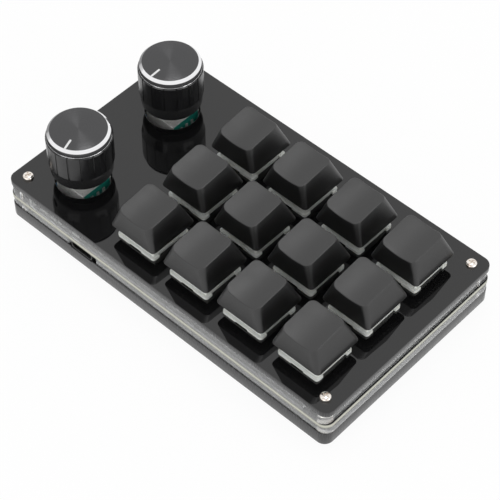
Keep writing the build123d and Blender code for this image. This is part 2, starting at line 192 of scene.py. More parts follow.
def rounded_outline(
    corners: Sequence[Point], radius: float, steps: int = 6, straight: int = 1
) -> list[Point]:
    """Rounds the corners of a closed polygon.

    Args:
        corners: The polygon's corners in order.
        radius: The radius of its corners, or 0 for sharp ones.
        steps: How many pieces each round corner has.
        straight: How many pieces each straight side has.

    Returns:
        The points of the rounded outline, in the same order.
    """
    arcs: list[list[Vector]] = []
    for index, corner in enumerate(corners):
        here = Vector(corner)
        if not radius:
            arcs.append([here])
            continue
        back = (Vector(corners[index - 1]) - here).normalized()
        ahead = (Vector(corners[(index + 1) % len(corners)]) - here).normalized()
        half = back.angle(ahead) / 2
        centre = here + (back + ahead).normalized() * radius / math.sin(half)
        start, end = (here + way * radius / math.tan(half) - centre for way in (back, ahead))
        first = math.atan2(start.y, start.x)
        turn = math.remainder(math.atan2(end.y, end.x) - first, FULL_TURN)
        angles = [first + turn * step / steps for step in range(steps + 1)]
        arcs.append([centre + Vector((math.cos(a), math.sin(a))) * radius for a in angles])
    points: list[Vector] = []
    for arc, following in zip(arcs, arcs[1:] + arcs[:1]):
        points += arc + [arc[-1].lerp(following[0], step / straight) for step in range(1, straight)]
    return [(point.x, point.y) for point in points]


def box_outline(
    length: float, depth: float, radius: float = 0.0, centre: Sequence[float] = (0.0, 0.0), steps: int = 6,
    straight: int = 1,
) -> list[Point]:
    """A rectangle with equal round corners.

    Args:
        length: Its size along X.
        depth: Its size along Y.
        radius: The radius of its corners, or 0.
        centre: Its centre.
        steps: How many pieces each round corner has.
        straight: How many pieces each straight side has.

    Returns:
        The points, anticlockwise.
    """
    signs = ((-1, -1), (1, -1), (1, 1), (-1, 1))
    corners = [(centre[0] + sx * length / 2, centre[1] + sy * depth / 2) for sx, sy in signs]
    return rounded_outline(corners, radius, steps, straight)


def cross_outline(length: float, width: float) -> list[Point]:
    """A cross of two equal arms about the origin.

    Args:
        length: The length of each arm.
        width: Its width.

    Returns:
        The twelve corners, anticlockwise.
    """
    far, near = length / 2, width / 2
    quarter = [Vector((far, near)), Vector((near, near)), Vector((near, far))]
    corners = [Matrix.Rotation(turn * QUARTER_TURN, 2) @ corner for turn in range(4) for corner in quarter]
    return [(corner.x, corner.y) for corner in corners]


def signed_area(points: Sequence[Point]) -> float:
    """The area inside a closed outline, positive when it runs anticlockwise."""
    following = [*points[1:], points[0]]
    return sum(a[0] * b[1] - b[0] * a[1] for a, b in zip(points, following)) / 2


def left_normals(points: Sequence[Point]) -> list[Vector]:
    """The direction to the left of travel at each point of a closed outline, mitred at its corners.

    Args:
        points: The outline.

    Returns:
        A direction for each point, longer than one at a corner.
    """
    normals = []
    for index, point in enumerate(points):
        arriving = (Vector(point) - Vector(points[index - 1])).normalized()
        leaving = (Vector(points[(index + 1) % len(points)]) - Vector(point)).normalized()
        left = Vector((-arriving.y, arriving.x))
        middle = (left + Vector((-leaving.y, leaving.x))).normalized()
        normals.append(middle / max(middle.dot(left), MITRE_LIMIT))
    return normals


# Meshes


def shade(mesh: bmesh.types.BMesh) -> None:
    """Makes faces smooth and the edges between steep ones sharp."""
    for face in mesh.faces:
        face.smooth = True
    for edge in mesh.edges:
        if edge.calc_face_angle(0.0) > SHARP_ANGLE:
            edge.smooth = False


def baked(name: str, mesh: bmesh.types.BMesh) -> bpy.types.Mesh:
    """Turns a mesh under construction into a finished one.

    Args:
        name: The finished mesh's name.
        mesh: The mesh under construction, which is freed.

    Returns:
        The finished mesh.
    """
    data = bpy.data.meshes.new(name)
    mesh.to_mesh(data)
    mesh.free()
    return data


def evaluated_mesh(item: Piece) -> bpy.types.Mesh:
    """Applies an object's modifiers and shades the result afresh.

    Args:
        item: The object, which stays as it is.

    Returns:
        The new plain mesh.
    """
    depsgraph = bpy.context.evaluated_depsgraph_get()
    data = bpy.data.meshes.new_from_object(item.evaluated_get(depsgraph), depsgraph=depsgraph)
    mesh = bmesh.new()
    mesh.from_mesh(data)
    shade(mesh)
    mesh.to_mesh(data)
    mesh.free()
    return data


def add_object(name: str, data: bpy.types.Mesh, finishes: Sequence[Material] = ()) -> Piece:
    """Links a mesh to the scene as an object at the origin.

    Args:
        name: The object's name.
        data: Its mesh.
        finishes: Its materials in order, or none to keep those of the mesh.

    Returns:
        The new object.
    """
    for finish in finishes:
        data.materials.append(finish)
    item = bpy.data.objects.new(name, data)
    bpy.context.scene.collection.objects.link(item)
    return item


class Shell:
    """A mesh under construction, in millimetres."""

    def __init__(self) -> None:
        """Starts an empty mesh."""
        self.mesh = bmesh.new()
        self.creases: set[bmesh.types.BMEdge] = set()

    def ring(self, points: Sequence[Sequence[float]]) -> list[bmesh.types.BMVert]:
        """Adds a row of points."""
        return [self.mesh.verts.new(point) for point in points]

    def bridge(self, low: list, high: list, finish: int = 0) -> None:
        """Joins two closed rows of equal length by four-sided faces.

        Args:
            low: The first row.
            high: The second row.
            finish: The index of the faces' material.
        """
        for index, vertex in enumerate(low):
            after = (index + 1) % len(low)
            self.mesh.faces.new((vertex, low[after], high[after], high[index])).material_index = finish

    def fan(self, row: list, tip: Sequence[float], finish: int = 0) -> None:
        """Closes a row with triangles that meet in one point.

        Args:
            row: The closed row.
            tip: Where the triangles meet.
            finish: The index of the faces' material.
        """
        apex = self.mesh.verts.new(tip)
        for index, vertex in enumerate(row):
            self.mesh.faces.new((vertex, row[(index + 1) % len(row)], apex)).material_index = finish

    def lid(self, rows: Sequence[list], finish: int = 0) -> None:
        """Fills the flat space between closed rows, the first outside and the rest holes.

        Args:
            rows: The rows, which lie in one plane.
            finish: The index of the faces' material.
        """
        edges = []
        for row in rows:
            for index, vertex in enumerate(row):
                after = row[(index + 1) % len(row)]
                edges.append(self.mesh.edges.get((vertex, after)) or self.mesh.edges.new((vertex, after)))
        made = bmesh.ops.triangle_fill(self.mesh, use_beauty=True, edges=edges)
        for item in made["geom"]:
            if isinstance(item, bmesh.types.BMFace):
                item.material_index = finish
        self.creases.update(edges)

    def slab(
        self,
        outline: Sequence[Point],
        bottom: float,
        top: float,
        edge: float = 0.0,
        holes: Sequence[Sequence[Point]] = (),
        skins: Sequence[int] = (0, 0),
    ) -> "Shell":
        """Adds a sheet with rounded edges, cut to an outline, with holes.

        Args:
            outline: The sheet's outline in plan.
            bottom: The height of its underside.
            top: The height of its upper side.
            edge: The radius of its edges, or 0 for sharp ones.
            holes: The outlines of its holes.
            skins: The materials of its flat sides and of its cut edges.

        Returns:
            The shell itself, for another slab.
        """
        bends = [QUARTER_TURN * step / EDGE_STEPS for step in range(EDGE_STEPS + 1)] if edge else [0.0]
        rounds = [(edge * (1 - math.sin(bend)), edge * (1 - math.cos(bend))) for bend in bends]
        levels = [(inset, bottom + rise) for inset, rise in rounds]
        levels += [(inset, top - rise) for inset, rise in reversed(rounds)]
        undersides, uppersides = [], []
        for number, path in enumerate([outline, *holes]):
            points = list(path)
            if (signed_area(points) > 0) != (number == 0):
                points.reverse()
            ways = left_normals(points)
            rows = [
                self.ring([(p[0] + w.x * inset, p[1] + w.y * inset, height) for p, w in zip(points, ways)])
                for inset, height in levels
            ]
            for low, high in zip(rows, rows[1:]):
                self.bridge(low, high, skins[1])
            undersides.append(rows[0])
            uppersides.append(rows[-1])
        self.lid(undersides, skins[0])
        self.lid(uppersides, skins[0])
        return self

    def finish(
        self, name: str, finishes: Sequence[Material] = (), place: Matrix | None = None
    ) -> Piece:
        """Ends the mesh: normals outward, flat faces kept flat, millimetres to metres.

        Args:
            name: The new object's name.
            finishes: Its materials, in the order of the faces' indices.
            place: A turn or shift of the whole mesh, in millimetres.

        Returns:
            The object, at the origin, with its place in its mesh.
        """
        bmesh.ops.remove_doubles(self.mesh, verts=self.mesh.verts, dist=1e-5)
        bmesh.ops.recalc_face_normals(self.mesh, faces=self.mesh.faces)
        shade(self.mesh)
        for edge in self.creases:
            if edge.is_valid:
                edge.smooth = False
        self.mesh.transform(Matrix.Scale(MM, 4) @ (place or Matrix()))
        return add_object(name, baked(name, self.mesh), finishes)


def merged(name: str, parts: Sequence[Piece]) -> Piece:
    """Joins finished meshes into one object, with each part's materials kept.

    Args:
        name: The joined object's name.
        parts: The objects to join, which are removed.

    Returns:
        The joined object.
    """
    whole = bmesh.new()
    finishes: list[Material] = []
    for part in parts:
        start = len(whole.faces)
        whole.from_mesh(part.data)
        whole.faces.ensure_lookup_table()
        finishes += [finish for finish in part.data.materials if finish not in finishes]
        for face in whole.faces[start:]:
            face.material_index = finishes.index(part.data.materials[face.material_index])
    data = baked(name, whole)
    for part in parts:
        bpy.data.objects.remove(part)
    return add_object(name, data, finishes)


def carved(piece: Piece, cutter: Piece) -> Piece:
    """Cuts a shape out of a piece; the new walls take the shape's material indices.

    Args:
        piece: The piece to cut.
        cutter: The shape, which is removed afterwards.

    Returns:
        The cut piece, with a plain mesh.
    """
    name = piece.name
    cut = piece.modifiers.new("cut", "BOOLEAN")
    cut.object = cutter
    cut.solver = "EXACT"
    data = evaluated_mesh(piece)
    for used in (piece, cutter):
        bpy.data.objects.remove(used)
    return add_object(name, data)


def softened(name: str, node: str, edge: float, finish: Material) -> Piece:
    """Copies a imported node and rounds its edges.

    Args:
        name: The new object's name.
        node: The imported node.
        edge: The radius of its edges.
        finish: Its material.

    Returns:
        The new object, with a Bevel modifier for its edges.
    """
    copy = bmesh.new()
    copy.from_mesh(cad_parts[node].data)
    bmesh.ops.remove_doubles(copy, verts=copy.verts, dist=1e-7)
    bmesh.ops.dissolve_limit(copy, angle_limit=FLAT_ANGLE, verts=copy.verts, edges=copy.edges)
    for face in copy.faces:
        face.material_index = 0
    shade(copy)
    item = add_object(name, baked(name, copy), [finish])
    rounding = item.modifiers.new("edges", "BEVEL")
    rounding.width = edge * MM
    rounding.segments = 2
    rounding.limit_method = "ANGLE"
    rounding.angle_limit = SHARP_ANGLE
    rounding.harden_normals = True
    return item


def profile_at(level: float, shape: Sequence[Point]) -> Profile:
    """A lathe profile in one finish, from radii and their heights over a level."""
    return [(radius, level + rise, 0) for radius, rise in shape]


def bend(start: Vector, corner: Vector, end: Vector, share: float) -> Vector:
    """The point at a share of the way along the curve that rounds a corner."""
    return start * (1 - share) ** 2 + corner * (2 * share * (1 - share)) + end * share**2


@dataclass
class Turning:
    """A form that is turned about an upright axis, as on a lathe."""

    profile: Profile
    angles: Sequence[float] = tuple(even_angles(64))
    reach: Callable[[float, float, float], float] | None = None
    cut_share: float = 0.45

    def eased(self, radius: float, steps: int) -> "Turning":
        """Rounds the corners of the profile.

        Args:
            radius: The radius of every round corner.
            steps: How many pieces each has.

        Returns:
            The same form with the rounded profile.
        """
        points = [self.profile[0]]
        for before, here, after in zip(self.profile, self.profile[1:], self.profile[2:]):
            corner = Vector(here[:2])
            back, ahead = Vector(before[:2]) - corner, Vector(after[:2]) - corner
            cut = min(radius, back.length * self.cut_share, ahead.length * self.cut_share)
            start, end = corner + back.normalized() * cut, corner + ahead.normalized() * cut
            for step in range(steps + 1):
                point = bend(start, corner, end, step / steps)
                points.append((point.x, point.y, before[2] if step < steps else here[2]))
        self.profile = [*points, self.profile[-1]]
        return self

    def shell(self) -> Shell:
        """Turns the profile; a point on the axis closes the form with a fan."""
        shell = Shell()
        rows: list[Any] = []
        for radius, height, _ in self.profile:
            if radius <= 0:
                rows.append((0.0, 0.0, height))
                continue
            spokes = [(self.reach(radius, a, height) if self.reach else radius, a) for a in self.angles]
            rows.append(shell.ring([(r * math.cos(a), r * math.sin(a), height) for r, a in spokes]))
        for low, high, (_, _, finish) in zip(rows, rows[1:], self.profile):
            if isinstance(low, tuple):
                shell.fan(high, low, finish)
            elif isinstance(high, tuple):
                shell.fan(low, high, finish)
            else:
                shell.bridge(low, high, finish)
        return shell


# Geometry Nodes


def fill_node(
    tree: bpy.types.NodeTree, kind: str, inputs: dict[str | int, Any], settings: dict[str, Any]
) -> bpy.types.Node:
    """Adds a node to a tree, with its settings, values and links.

    Args:
        tree: The tree.
        kind: The node's type.
        inputs: A value or an output socket for each input by name or place.
        settings: The node's own settings.

    Returns:
        The node.
    """
    node = tree.nodes.new(kind)
    for key, value in settings.items():
        setattr(node, key, value)
    for key, value in inputs.items():
        if isinstance(value, Socket):
            tree.links.new(value, node.inputs[key])
        else:
            node.inputs[key].default_value = value
    return node


class Tree:
    """A Geometry Nodes tree under construction, with named inputs."""

    def __init__(self, name: str) -> None:
        """Starts a tree that gives out geometry.

        Args:
            name: The tree's name.
        """
        self.group = bpy.data.node_groups.new(name, "GeometryNodeTree")
        self.group.interface.new_socket("Geometry", in_out="OUTPUT", socket_type="NodeSocketGeometry")
        self.entry = self.group.nodes.new("NodeGroupInput")
        self.exit = self.group.nodes.new("NodeGroupOutput")
        self.identifiers: dict[str, str] = {}

    def ask(self, name: str, kind: str) -> Socket:
        """Adds a named input.

        Args:
            name: The input's name.
            kind: Its socket type without the words NodeSocket.

        Returns:
            The socket that carries the input's value inside the tree.
        """
        socket = self.group.interface.new_socket(name, in_out="INPUT", socket_type=f"NodeSocket{kind}")
        self.identifiers[name] = socket.identifier
        return next(output for output in self.entry.outputs if output.identifier == socket.identifier)

    def add(self, kind: str, inputs: dict[str | int, Any], **settings: Any) -> bpy.types.Node:
        """Adds a node by its type, which may lack the word GeometryNode in front."""
        full = kind if kind.startswith(("Function", "Shader")) else f"GeometryNode{kind}"
        return fill_node(self.group, full, inputs, settings)

    def copies(
        self, points: Socket, piece: Socket, **more: Any
    ) -> Socket:
        """Puts a copy of a piece at every point.

        Args:
            points: The points.
            piece: The socket of the piece's object.
            more: Further inputs of the node that makes the copies.

        Returns:
            The socket of the copies.
        """
        source = self.add("ObjectInfo", {"Object": piece, "As Instance": True})
        shape = source.outputs["Geometry"]
        return self.add("InstanceOnPoints", {"Points": points, "Instance": shape, **more}).outputs[0]

    def close(self, geometry: Socket) -> None:
        """Ends the tree with real geometry in the one finish that it asks for.

        Args:
            geometry: What the tree has made, copies or not.
        """
        finish = self.ask("Finish", "Material")
        real = self.add("RealizeInstances", {"Geometry": geometry})
        dressed = self.add("SetMaterial", {"Geometry": real.outputs[0], "Material": finish})
        self.group.links.new(dressed.outputs[0], self.exit.inputs[0])

    def grow(self, name: str, **values: Any) -> Piece:
        """Runs the tree and keeps what it makes as a plain mesh.

        Args:
            name: The new object's name.
            values: A value for each named input.

        Returns:
            The new object, with no modifier.
        """
        host = add_object(f"{name}_host", bpy.data.meshes.new(f"{name}_host"))
        modifier = host.modifiers.new("pattern", "NODES")
        modifier.node_group = self.group
        for key, value in values.items():
            modifier[self.identifiers[key]] = value
        data = evaluated_mesh(host)
        host.modifiers.remove(modifier)
        bpy.data.objects.remove(host)
        return add_object(name, data)


class GridPattern(Tree):
    """Copies of one piece at the crossings of a grid, each turned by a fixed random angle."""

    def __init__(self) -> None:
        """Builds the tree."""
        super().__init__("grid_pattern")
        size = {"Size X": self.ask("Length", "Float"), "Size Y": self.ask("Depth", "Float")}
        counts = {"Vertices X": self.ask("Columns", "Int"), "Vertices Y": self.ask("Rows", "Int")}
        grid = self.add("MeshGrid", {**size, **counts})
        centre = self.ask("Centre", "Vector")
        placed = self.add("Transform", {"Geometry": grid.outputs["Mesh"], "Translation": centre})
        draw = {3: self.ask("Turn", "Float"), "Seed": self.ask("Seed", "Int")}
        angle = self.add("FunctionNodeRandomValue", draw)
        spin = self.add("ShaderNodeCombineXYZ", {"Z": angle.outputs[1]})
        self.close(self.copies(placed.outputs[0], self.ask("Piece", "Object"), Rotation=spin.outputs[0]))

    def over(
        self,
        name: str,
        piece: Piece,
        reach: Sequence[float],
        counts: tuple[int, int],
        finish: Material,
        centre: Sequence[float] = (0.0, 0.0, 0.0),
        turn: float = 0.0,
    ) -> Piece:
        """Spreads a piece over a grid; the piece itself is removed.

        Args:
            name: The new object's name.
            piece: The piece, about the origin.
            reach: The grid's whole length and depth, in millimetres.
            counts: Its columns and rows.
            finish: The copies' material.
            centre: The grid's centre, in millimetres.
            turn: The largest turn of a copy.

        Returns:
            The new object.
        """
        made = self.grow(
            name, Piece=piece, Length=reach[0] * MM, Depth=reach[1] * MM, Columns=counts[0], Rows=counts[1],
            Centre=metres(centre), Turn=turn, Seed=TURN_SEED, Finish=finish,
        )
        bpy.data.objects.remove(piece)
        return made


class RowPattern(Tree):
    """Copies of one piece in a straight row."""

    def __init__(self) -> None:
        """Builds the tree."""
        super().__init__("row_pattern")
        count = self.ask("Count", "Int")
        start, step = self.ask("Start", "Vector"), self.ask("Step", "Vector")
        line = self.add("MeshLine", {"Count": count, "Start Location": start, "Offset": step})
        self.close(self.copies(line.outputs[0], self.ask("Piece", "Object")))

    def along(
        self,
        name: str,
        piece: Piece,
        count: int,
        start: Sequence[float],
        step: Sequence[float],
        finish: Material,
    ) -> Piece:
        """Repeats a piece along a line; the piece itself is removed.

        Args:
            name: The new object's name.
            piece: The piece, about the origin.
            count: How many copies there are.
            start: Where the first is, in millimetres.
            step: From one to the next, in millimetres.
            finish: The copies' material.

        Returns:
            The new object.
        """
        way = {"Start": metres(start), "Step": metres(step)}
        made = self.grow(name, Piece=piece, Count=count, Finish=finish, **way)
        bpy.data.objects.remove(piece)
        return made


class CoilPath(Tree):
    """A round wire along a helix, for springs and screw threads."""

    STEPS_PER_TURN = 24
    WIRE_SIDES = 8

    def __init__(self) -> None:
        """Builds the tree."""
        super().__init__("coil_path")
        radius = self.ask("Radius", "Float")
        size = {"Rotations": self.ask("Turns", "Float"), "Height": self.ask("Height", "Float")}
        ends = {"Start Radius": radius, "End Radius": radius}
        helix = self.add("CurveSpiral", {"Resolution": self.STEPS_PER_TURN, **ends, **size})
        round_wire = {"Resolution": self.WIRE_SIDES, "Radius": self.ask("Wire", "Float")}
        wire = self.add("CurvePrimitiveCircle", round_wire)
        path = {"Curve": helix.outputs[0], "Profile Curve": wire.outputs[0], "Fill Caps": True}
        tube = self.add("CurveToMesh", path)
        shift = {"Geometry": tube.outputs[0], "Translation": self.ask("Place", "Vector")}
        placed = self.add("Transform", shift)
        self.close(placed.outputs[0])

    def wound(
        self,
        name: str,
        turns: float,
        radius: float,
        wire: float,
        low: float,
        high: float,
        centre: Sequence[float],
        finish: Material,
    ) -> Piece:
        """Winds a wire between two heights.

        Args:
            name: The new object's name.
            turns: How often it goes round.
            radius: The helix's radius to the middle of the wire, in millimetres.
            wire: The wire's radius.
            low: The lowest point of the wire.
            high: Its highest point.
            centre: The helix's axis in plan.
            finish: The wire's material.

        Returns:
            The new object.
        """
        sizes = {"Radius": radius * MM, "Wire": wire * MM, "Height": (high - low - 2 * wire) * MM}
        place = metres((centre[0], centre[1], low + wire))
        return self.grow(name, Turns=turns, Place=place, Finish=finish, **sizes)


# Finishes


class Nodes:
    """The shader tree of a material or of the world, under construction."""

    def __init__(self, tree: bpy.types.NodeTree) -> None:
        """Takes the tree that the nodes go into."""
        self.tree = tree

    def add(self, kind: str, inputs: dict[str | int, Any], **settings: Any) -> bpy.types.Node:
        """Adds a shader node by its type without the words ShaderNode."""
        return fill_node(self.tree, f"ShaderNode{kind}", inputs, settings)

    def compute(self, operation: str, *values: Any) -> Socket:
        """Joins numbers and sockets by one operation of arithmetic."""
        return self.add("Math", dict(enumerate(values)), operation=operation).outputs[0]

    def vector(self, operation: str, result: str, *values: Any) -> Socket:
        """Joins vectors by one operation and gives out the named result."""
        return self.add("VectorMath", dict(enumerate(values)), operation=operation).outputs[result]


class Paint(Nodes):
    """A material under construction: one Principled shader and the nodes that feed it."""

    def __init__(self, name: str) -> None:
        """Starts a material with its shader.

        Args:
            name: The material's name.
        """
        self.material = bpy.data.materials.new(name)
        self.material.use_nodes = True
        super().__init__(self.material.node_tree)
        self.shader = self.tree.nodes["Principled BSDF"]

    def fixed(self, values: dict[str, Any]) -> None:
        """Sets what is the same all over the surface on the shader itself."""
        for key, value in values.items():
            socket = self.shader.inputs[key]
            wants_alpha = isinstance(value, tuple) and len(socket.default_value) == 4
            socket.default_value = (*value, 1.0) if wants_alpha else value

    def feed(self, socket: str, value: Socket) -> None:
        """Joins an output to one of the shader's sockets."""
        self.tree.links.new(value, self.shader.inputs[socket])

    def place(
        self, stretch: Sequence[float] = (1, 1, 1), centre: Sequence[float] = (0, 0, 0)
    ) -> Socket:
        """Object coordinates in millimetres.

        Args:
            stretch: How much denser a pattern is along each axis.
            centre: The pattern's centre, in millimetres.

        Returns:
            The socket that carries the place.
        """
        coordinates = self.add("TexCoord", {}).outputs["Object"]
        shift = tuple(-c * s for c, s in zip(centre, stretch))
        scale = tuple(s / MM for s in stretch)
        return self.add("Mapping", {"Vector": coordinates, "Location": shift, "Scale": scale}).outputs[0]

    def noise(
        self, place: Socket, scale: float = 1.0, detail: float = 3.0, rough: float = 0.5
    ) -> Socket:
        """A noise with so many features per millimetre, and so many finer layers of a given strength."""
        values = {"Vector": place, "Scale": scale, "Detail": detail, "Roughness": rough}
        return self.add("TexNoise", values).outputs[0]

    def between(
        self, value: Socket, low: float, high: float, start: float = 0.35, end: float = 0.65
    ) -> Socket:
        """Maps a pattern to a range of numbers: low up to the pattern's level start, high from its end."""
        levels = {"From Min": start, "From Max": end, "To Min": low, "To Max": high}
        return self.add("MapRange", {"Value": value, **levels}).outputs[0]

    def blend(self, share: Socket, first: Sequence[float], second: Sequence[float]) -> None:
        """Gives the shader a colour that a pattern mixes from two."""
        mix = self.add("Mix", {0: share, 6: (*first, 1.0), 7: (*second, 1.0)}, data_type="RGBA")
        self.feed("Base Color", mix.outputs[2])

    def relief(self, height: Socket, strength: float, depth: float) -> None:
        """Adds a fine relief, with its strength from 0 to 1 and its full depth in millimetres."""
        bump = self.add("Bump", {"Height": height, "Strength": strength, "Distance": depth * MM})
        self.feed("Normal", bump.outputs[0])


@dataclass(frozen=True)
class Finish:
    """A surface with a fixed colour and gloss, to which each kind adds its pattern."""

    name: str
    colour: Colour
    roughness: float
    metallic: float = 0.0
    ior: float = 1.5

    def extras(self) -> dict[str, Any]:
        """Further values that are the same all over the surface."""
        return {}

    def pattern(self, paint: Paint) -> None:
        """Adds the pattern of colour, gloss and relief."""
        raise NotImplementedError

    def shades(self, low: float, high: float = 1.0) -> tuple[list[float], list[float]]:
        """Two shades of the surface's own colour."""
        return [c * low for c in self.colour], [min(c * high, 1.0) for c in self.colour]

    def vary_gloss(self, paint: Paint, pattern: Socket, low: float, high: float, *levels: float) -> None:
        """Varies the roughness with a pattern, between two shares of the surface's own."""
        paint.feed("Roughness", paint.between(pattern, self.roughness * low, self.roughness * high, *levels))

    def material(self) -> Material:
        """Builds the material."""
        paint = Paint(self.name)
        paint.fixed({"Base Color": self.colour, "Roughness": self.roughness})
        paint.fixed({"Metallic": self.metallic, "IOR": self.ior, **self.extras()})
        self.pattern(paint)
        return paint.material


@dataclass(frozen=True)
class PolishedSheet(Finish):
    """The polished face of a cast sheet, with the faintest dust and rub marks."""

    rub_stretch: Size = (0.07, 1.6, 1.0)

    def pattern(self, paint: Paint) -> None:
        """Adds rub marks to the gloss and a slow unevenness of the cast surface.

        Args:
            paint: The material in the making.
        """
        rubs = paint.noise(paint.place(self.rub_stretch), detail=5.0, rough=0.7)
        paint.blend(paint.noise(paint.place(), scale=9.0, detail=2.0), *self.shades(1.0, 1.4))
        self.vary_gloss(paint, rubs, 0.6, 1.8, 0.4, 0.7)
        paint.relief(paint.noise(paint.place(), scale=0.045, detail=1.0), strength=0.4, depth=0.012)


@dataclass(frozen=True)
class CutEdge(Finish):
    """The edge of a sheet that a laser cut, with fine upright ripples."""

    clear: float = 0.0
    ripple_stretch: Size = (3.2, 3.2, 0.12)
    ripple_depth: float = 0.01

    def extras(self) -> dict[str, Any]:
        """Lets light through a clear sheet's edge."""
        return {"Transmission Weight": self.clear}

    def pattern(self, paint: Paint) -> None:
        """Adds the ripples to colour, gloss and relief.

        Args:
            paint: The material in the making.
        """
        across = paint.noise(paint.place(self.ripple_stretch), rough=0.6)
        paint.blend(across, *self.shades(0.85))
        self.vary_gloss(paint, across, 0.7, 1.35)
        paint.relief(across, strength=0.2, depth=self.ripple_depth)


@dataclass(frozen=True)
class ClearSheet(Finish):
    """The polished face of a clear cast sheet."""

    def extras(self) -> dict[str, Any]:
        """Lets light through."""
        return {"Transmission Weight": 1.0}

    def pattern(self, paint: Paint) -> None:
        """Adds a faint haze.

        Args:
            paint: The material in the making.
        """
        haze = paint.noise(paint.place(), scale=0.4)
        paint.blend(haze, *self.shades(0.985))
        self.vary_gloss(paint, haze, 0.6, 1.5)


@dataclass(frozen=True)
class SolderMask(Finish):
    """The coat of the board, with copper tracks that stand up under it."""

    cell_scale: float = 0.28
    lane_width: float = 0.18
    track_levels: Point = (0.08, 0.11)

    def pattern(self, paint: Paint) -> None:
        """Adds raised tracks and an uneven gloss.

        Args:
            paint: The material in the making.
        """
        values = {"Vector": paint.place(), "Scale": self.cell_scale}
        cells = paint.add("TexVoronoi", values, distance="CHEBYCHEV")
        lanes = paint.compute("PINGPONG", cells.outputs["Distance"], self.lane_width)
        tracks = paint.between(lanes, 0.0, 1.0, *self.track_levels)
        paint.blend(tracks, *self.shades(1.0, 2.2))
        self.vary_gloss(paint, paint.noise(paint.place(), scale=3.0), 0.8, 1.2)
        paint.relief(tracks, strength=0.3, depth=0.02)


@dataclass(frozen=True)
class LaminateEdge(Finish):
    """The cut edge of the board: resin between thin layers of glass cloth, darker towards both faces."""

    bright_height: float = 10.55
    bright_reach: Point = (0.35, 0.55)
    layer_stretch: Size = (0.25, 0.25, 5.0)
    fibre_stretch: Size = (4.0, 4.0, 2.0)

    def pattern(self, paint: Paint) -> None:
        """Adds the layers and the broken fibres.

        Args:
            paint: The material in the making.
        """
        layers = paint.noise(paint.place(self.layer_stretch), detail=2.0)
        fibres = paint.noise(paint.place(self.fibre_stretch), rough=0.7)
        height = paint.add("SeparateXYZ", {"Vector": paint.place()}).outputs["Z"]
        away = paint.compute("ABSOLUTE", paint.compute("SUBTRACT", height, self.bright_height))
        core = paint.between(away, 1.0, 0.0, *self.bright_reach)
        cloth = paint.between(layers, 0.8, 1.0)
        paint.blend(paint.compute("MULTIPLY", core, cloth), *self.shades(0.5))
        self.vary_gloss(paint, fibres, 0.8, 1.2)
        paint.relief(fibres, strength=0.5, depth=0.04)


@dataclass(frozen=True)
class GrainedPlastic(Finish):
    """Plastic or rubber with a fine moulded grain, a little glossier in patches where fingers rub."""

    grain: float = 6.5
    depth: float = 0.02
    rub: float = 0.06
    sparkle: float = 0.1

    def pattern(self, paint: Paint) -> None:
        """Adds the grain and the rubbed patches.

        Args:
            paint: The material in the making.
        """
        grain = paint.noise(paint.place(), self.grain, detail=2.0, rough=0.6)
        patches = paint.noise(paint.place(), scale=0.11)
        paint.blend(patches, *self.shades(1.0, 1.15))
        gloss = paint.between(patches, self.roughness - self.rub, self.roughness)
        paint.feed("Roughness", paint.compute("MULTIPLY_ADD", grain, self.sparkle, gloss))
        paint.relief(grain, strength=0.6, depth=self.depth)


@dataclass(frozen=True)
class MouldedPlastic(Finish):
    """Smooth moulded plastic, into which light may go a little way."""

    glow: float = 0.0
    glow_reach: float = 0.6
    glow_tint: Colour = (1.0, 0.95, 0.85)

    def extras(self) -> dict[str, Any]:
        """Lets light a little way in."""
        scatter = {"Subsurface Weight": self.glow, "Subsurface Scale": self.glow_reach * MM}
        return {**scatter, "Subsurface Radius": self.glow_tint} if self.glow else {}

    def pattern(self, paint: Paint) -> None:
        """Adds flow marks and a fine mould grain.

        Args:
            paint: The material in the making.
        """
        flow = paint.noise(paint.place(), scale=0.12, detail=4.0)
        paint.blend(flow, *self.shades(0.92))
        self.vary_gloss(paint, flow, 0.8, 1.2)
        paint.relief(paint.noise(paint.place(), scale=5.0, detail=2.0), strength=0.2, depth=0.008)


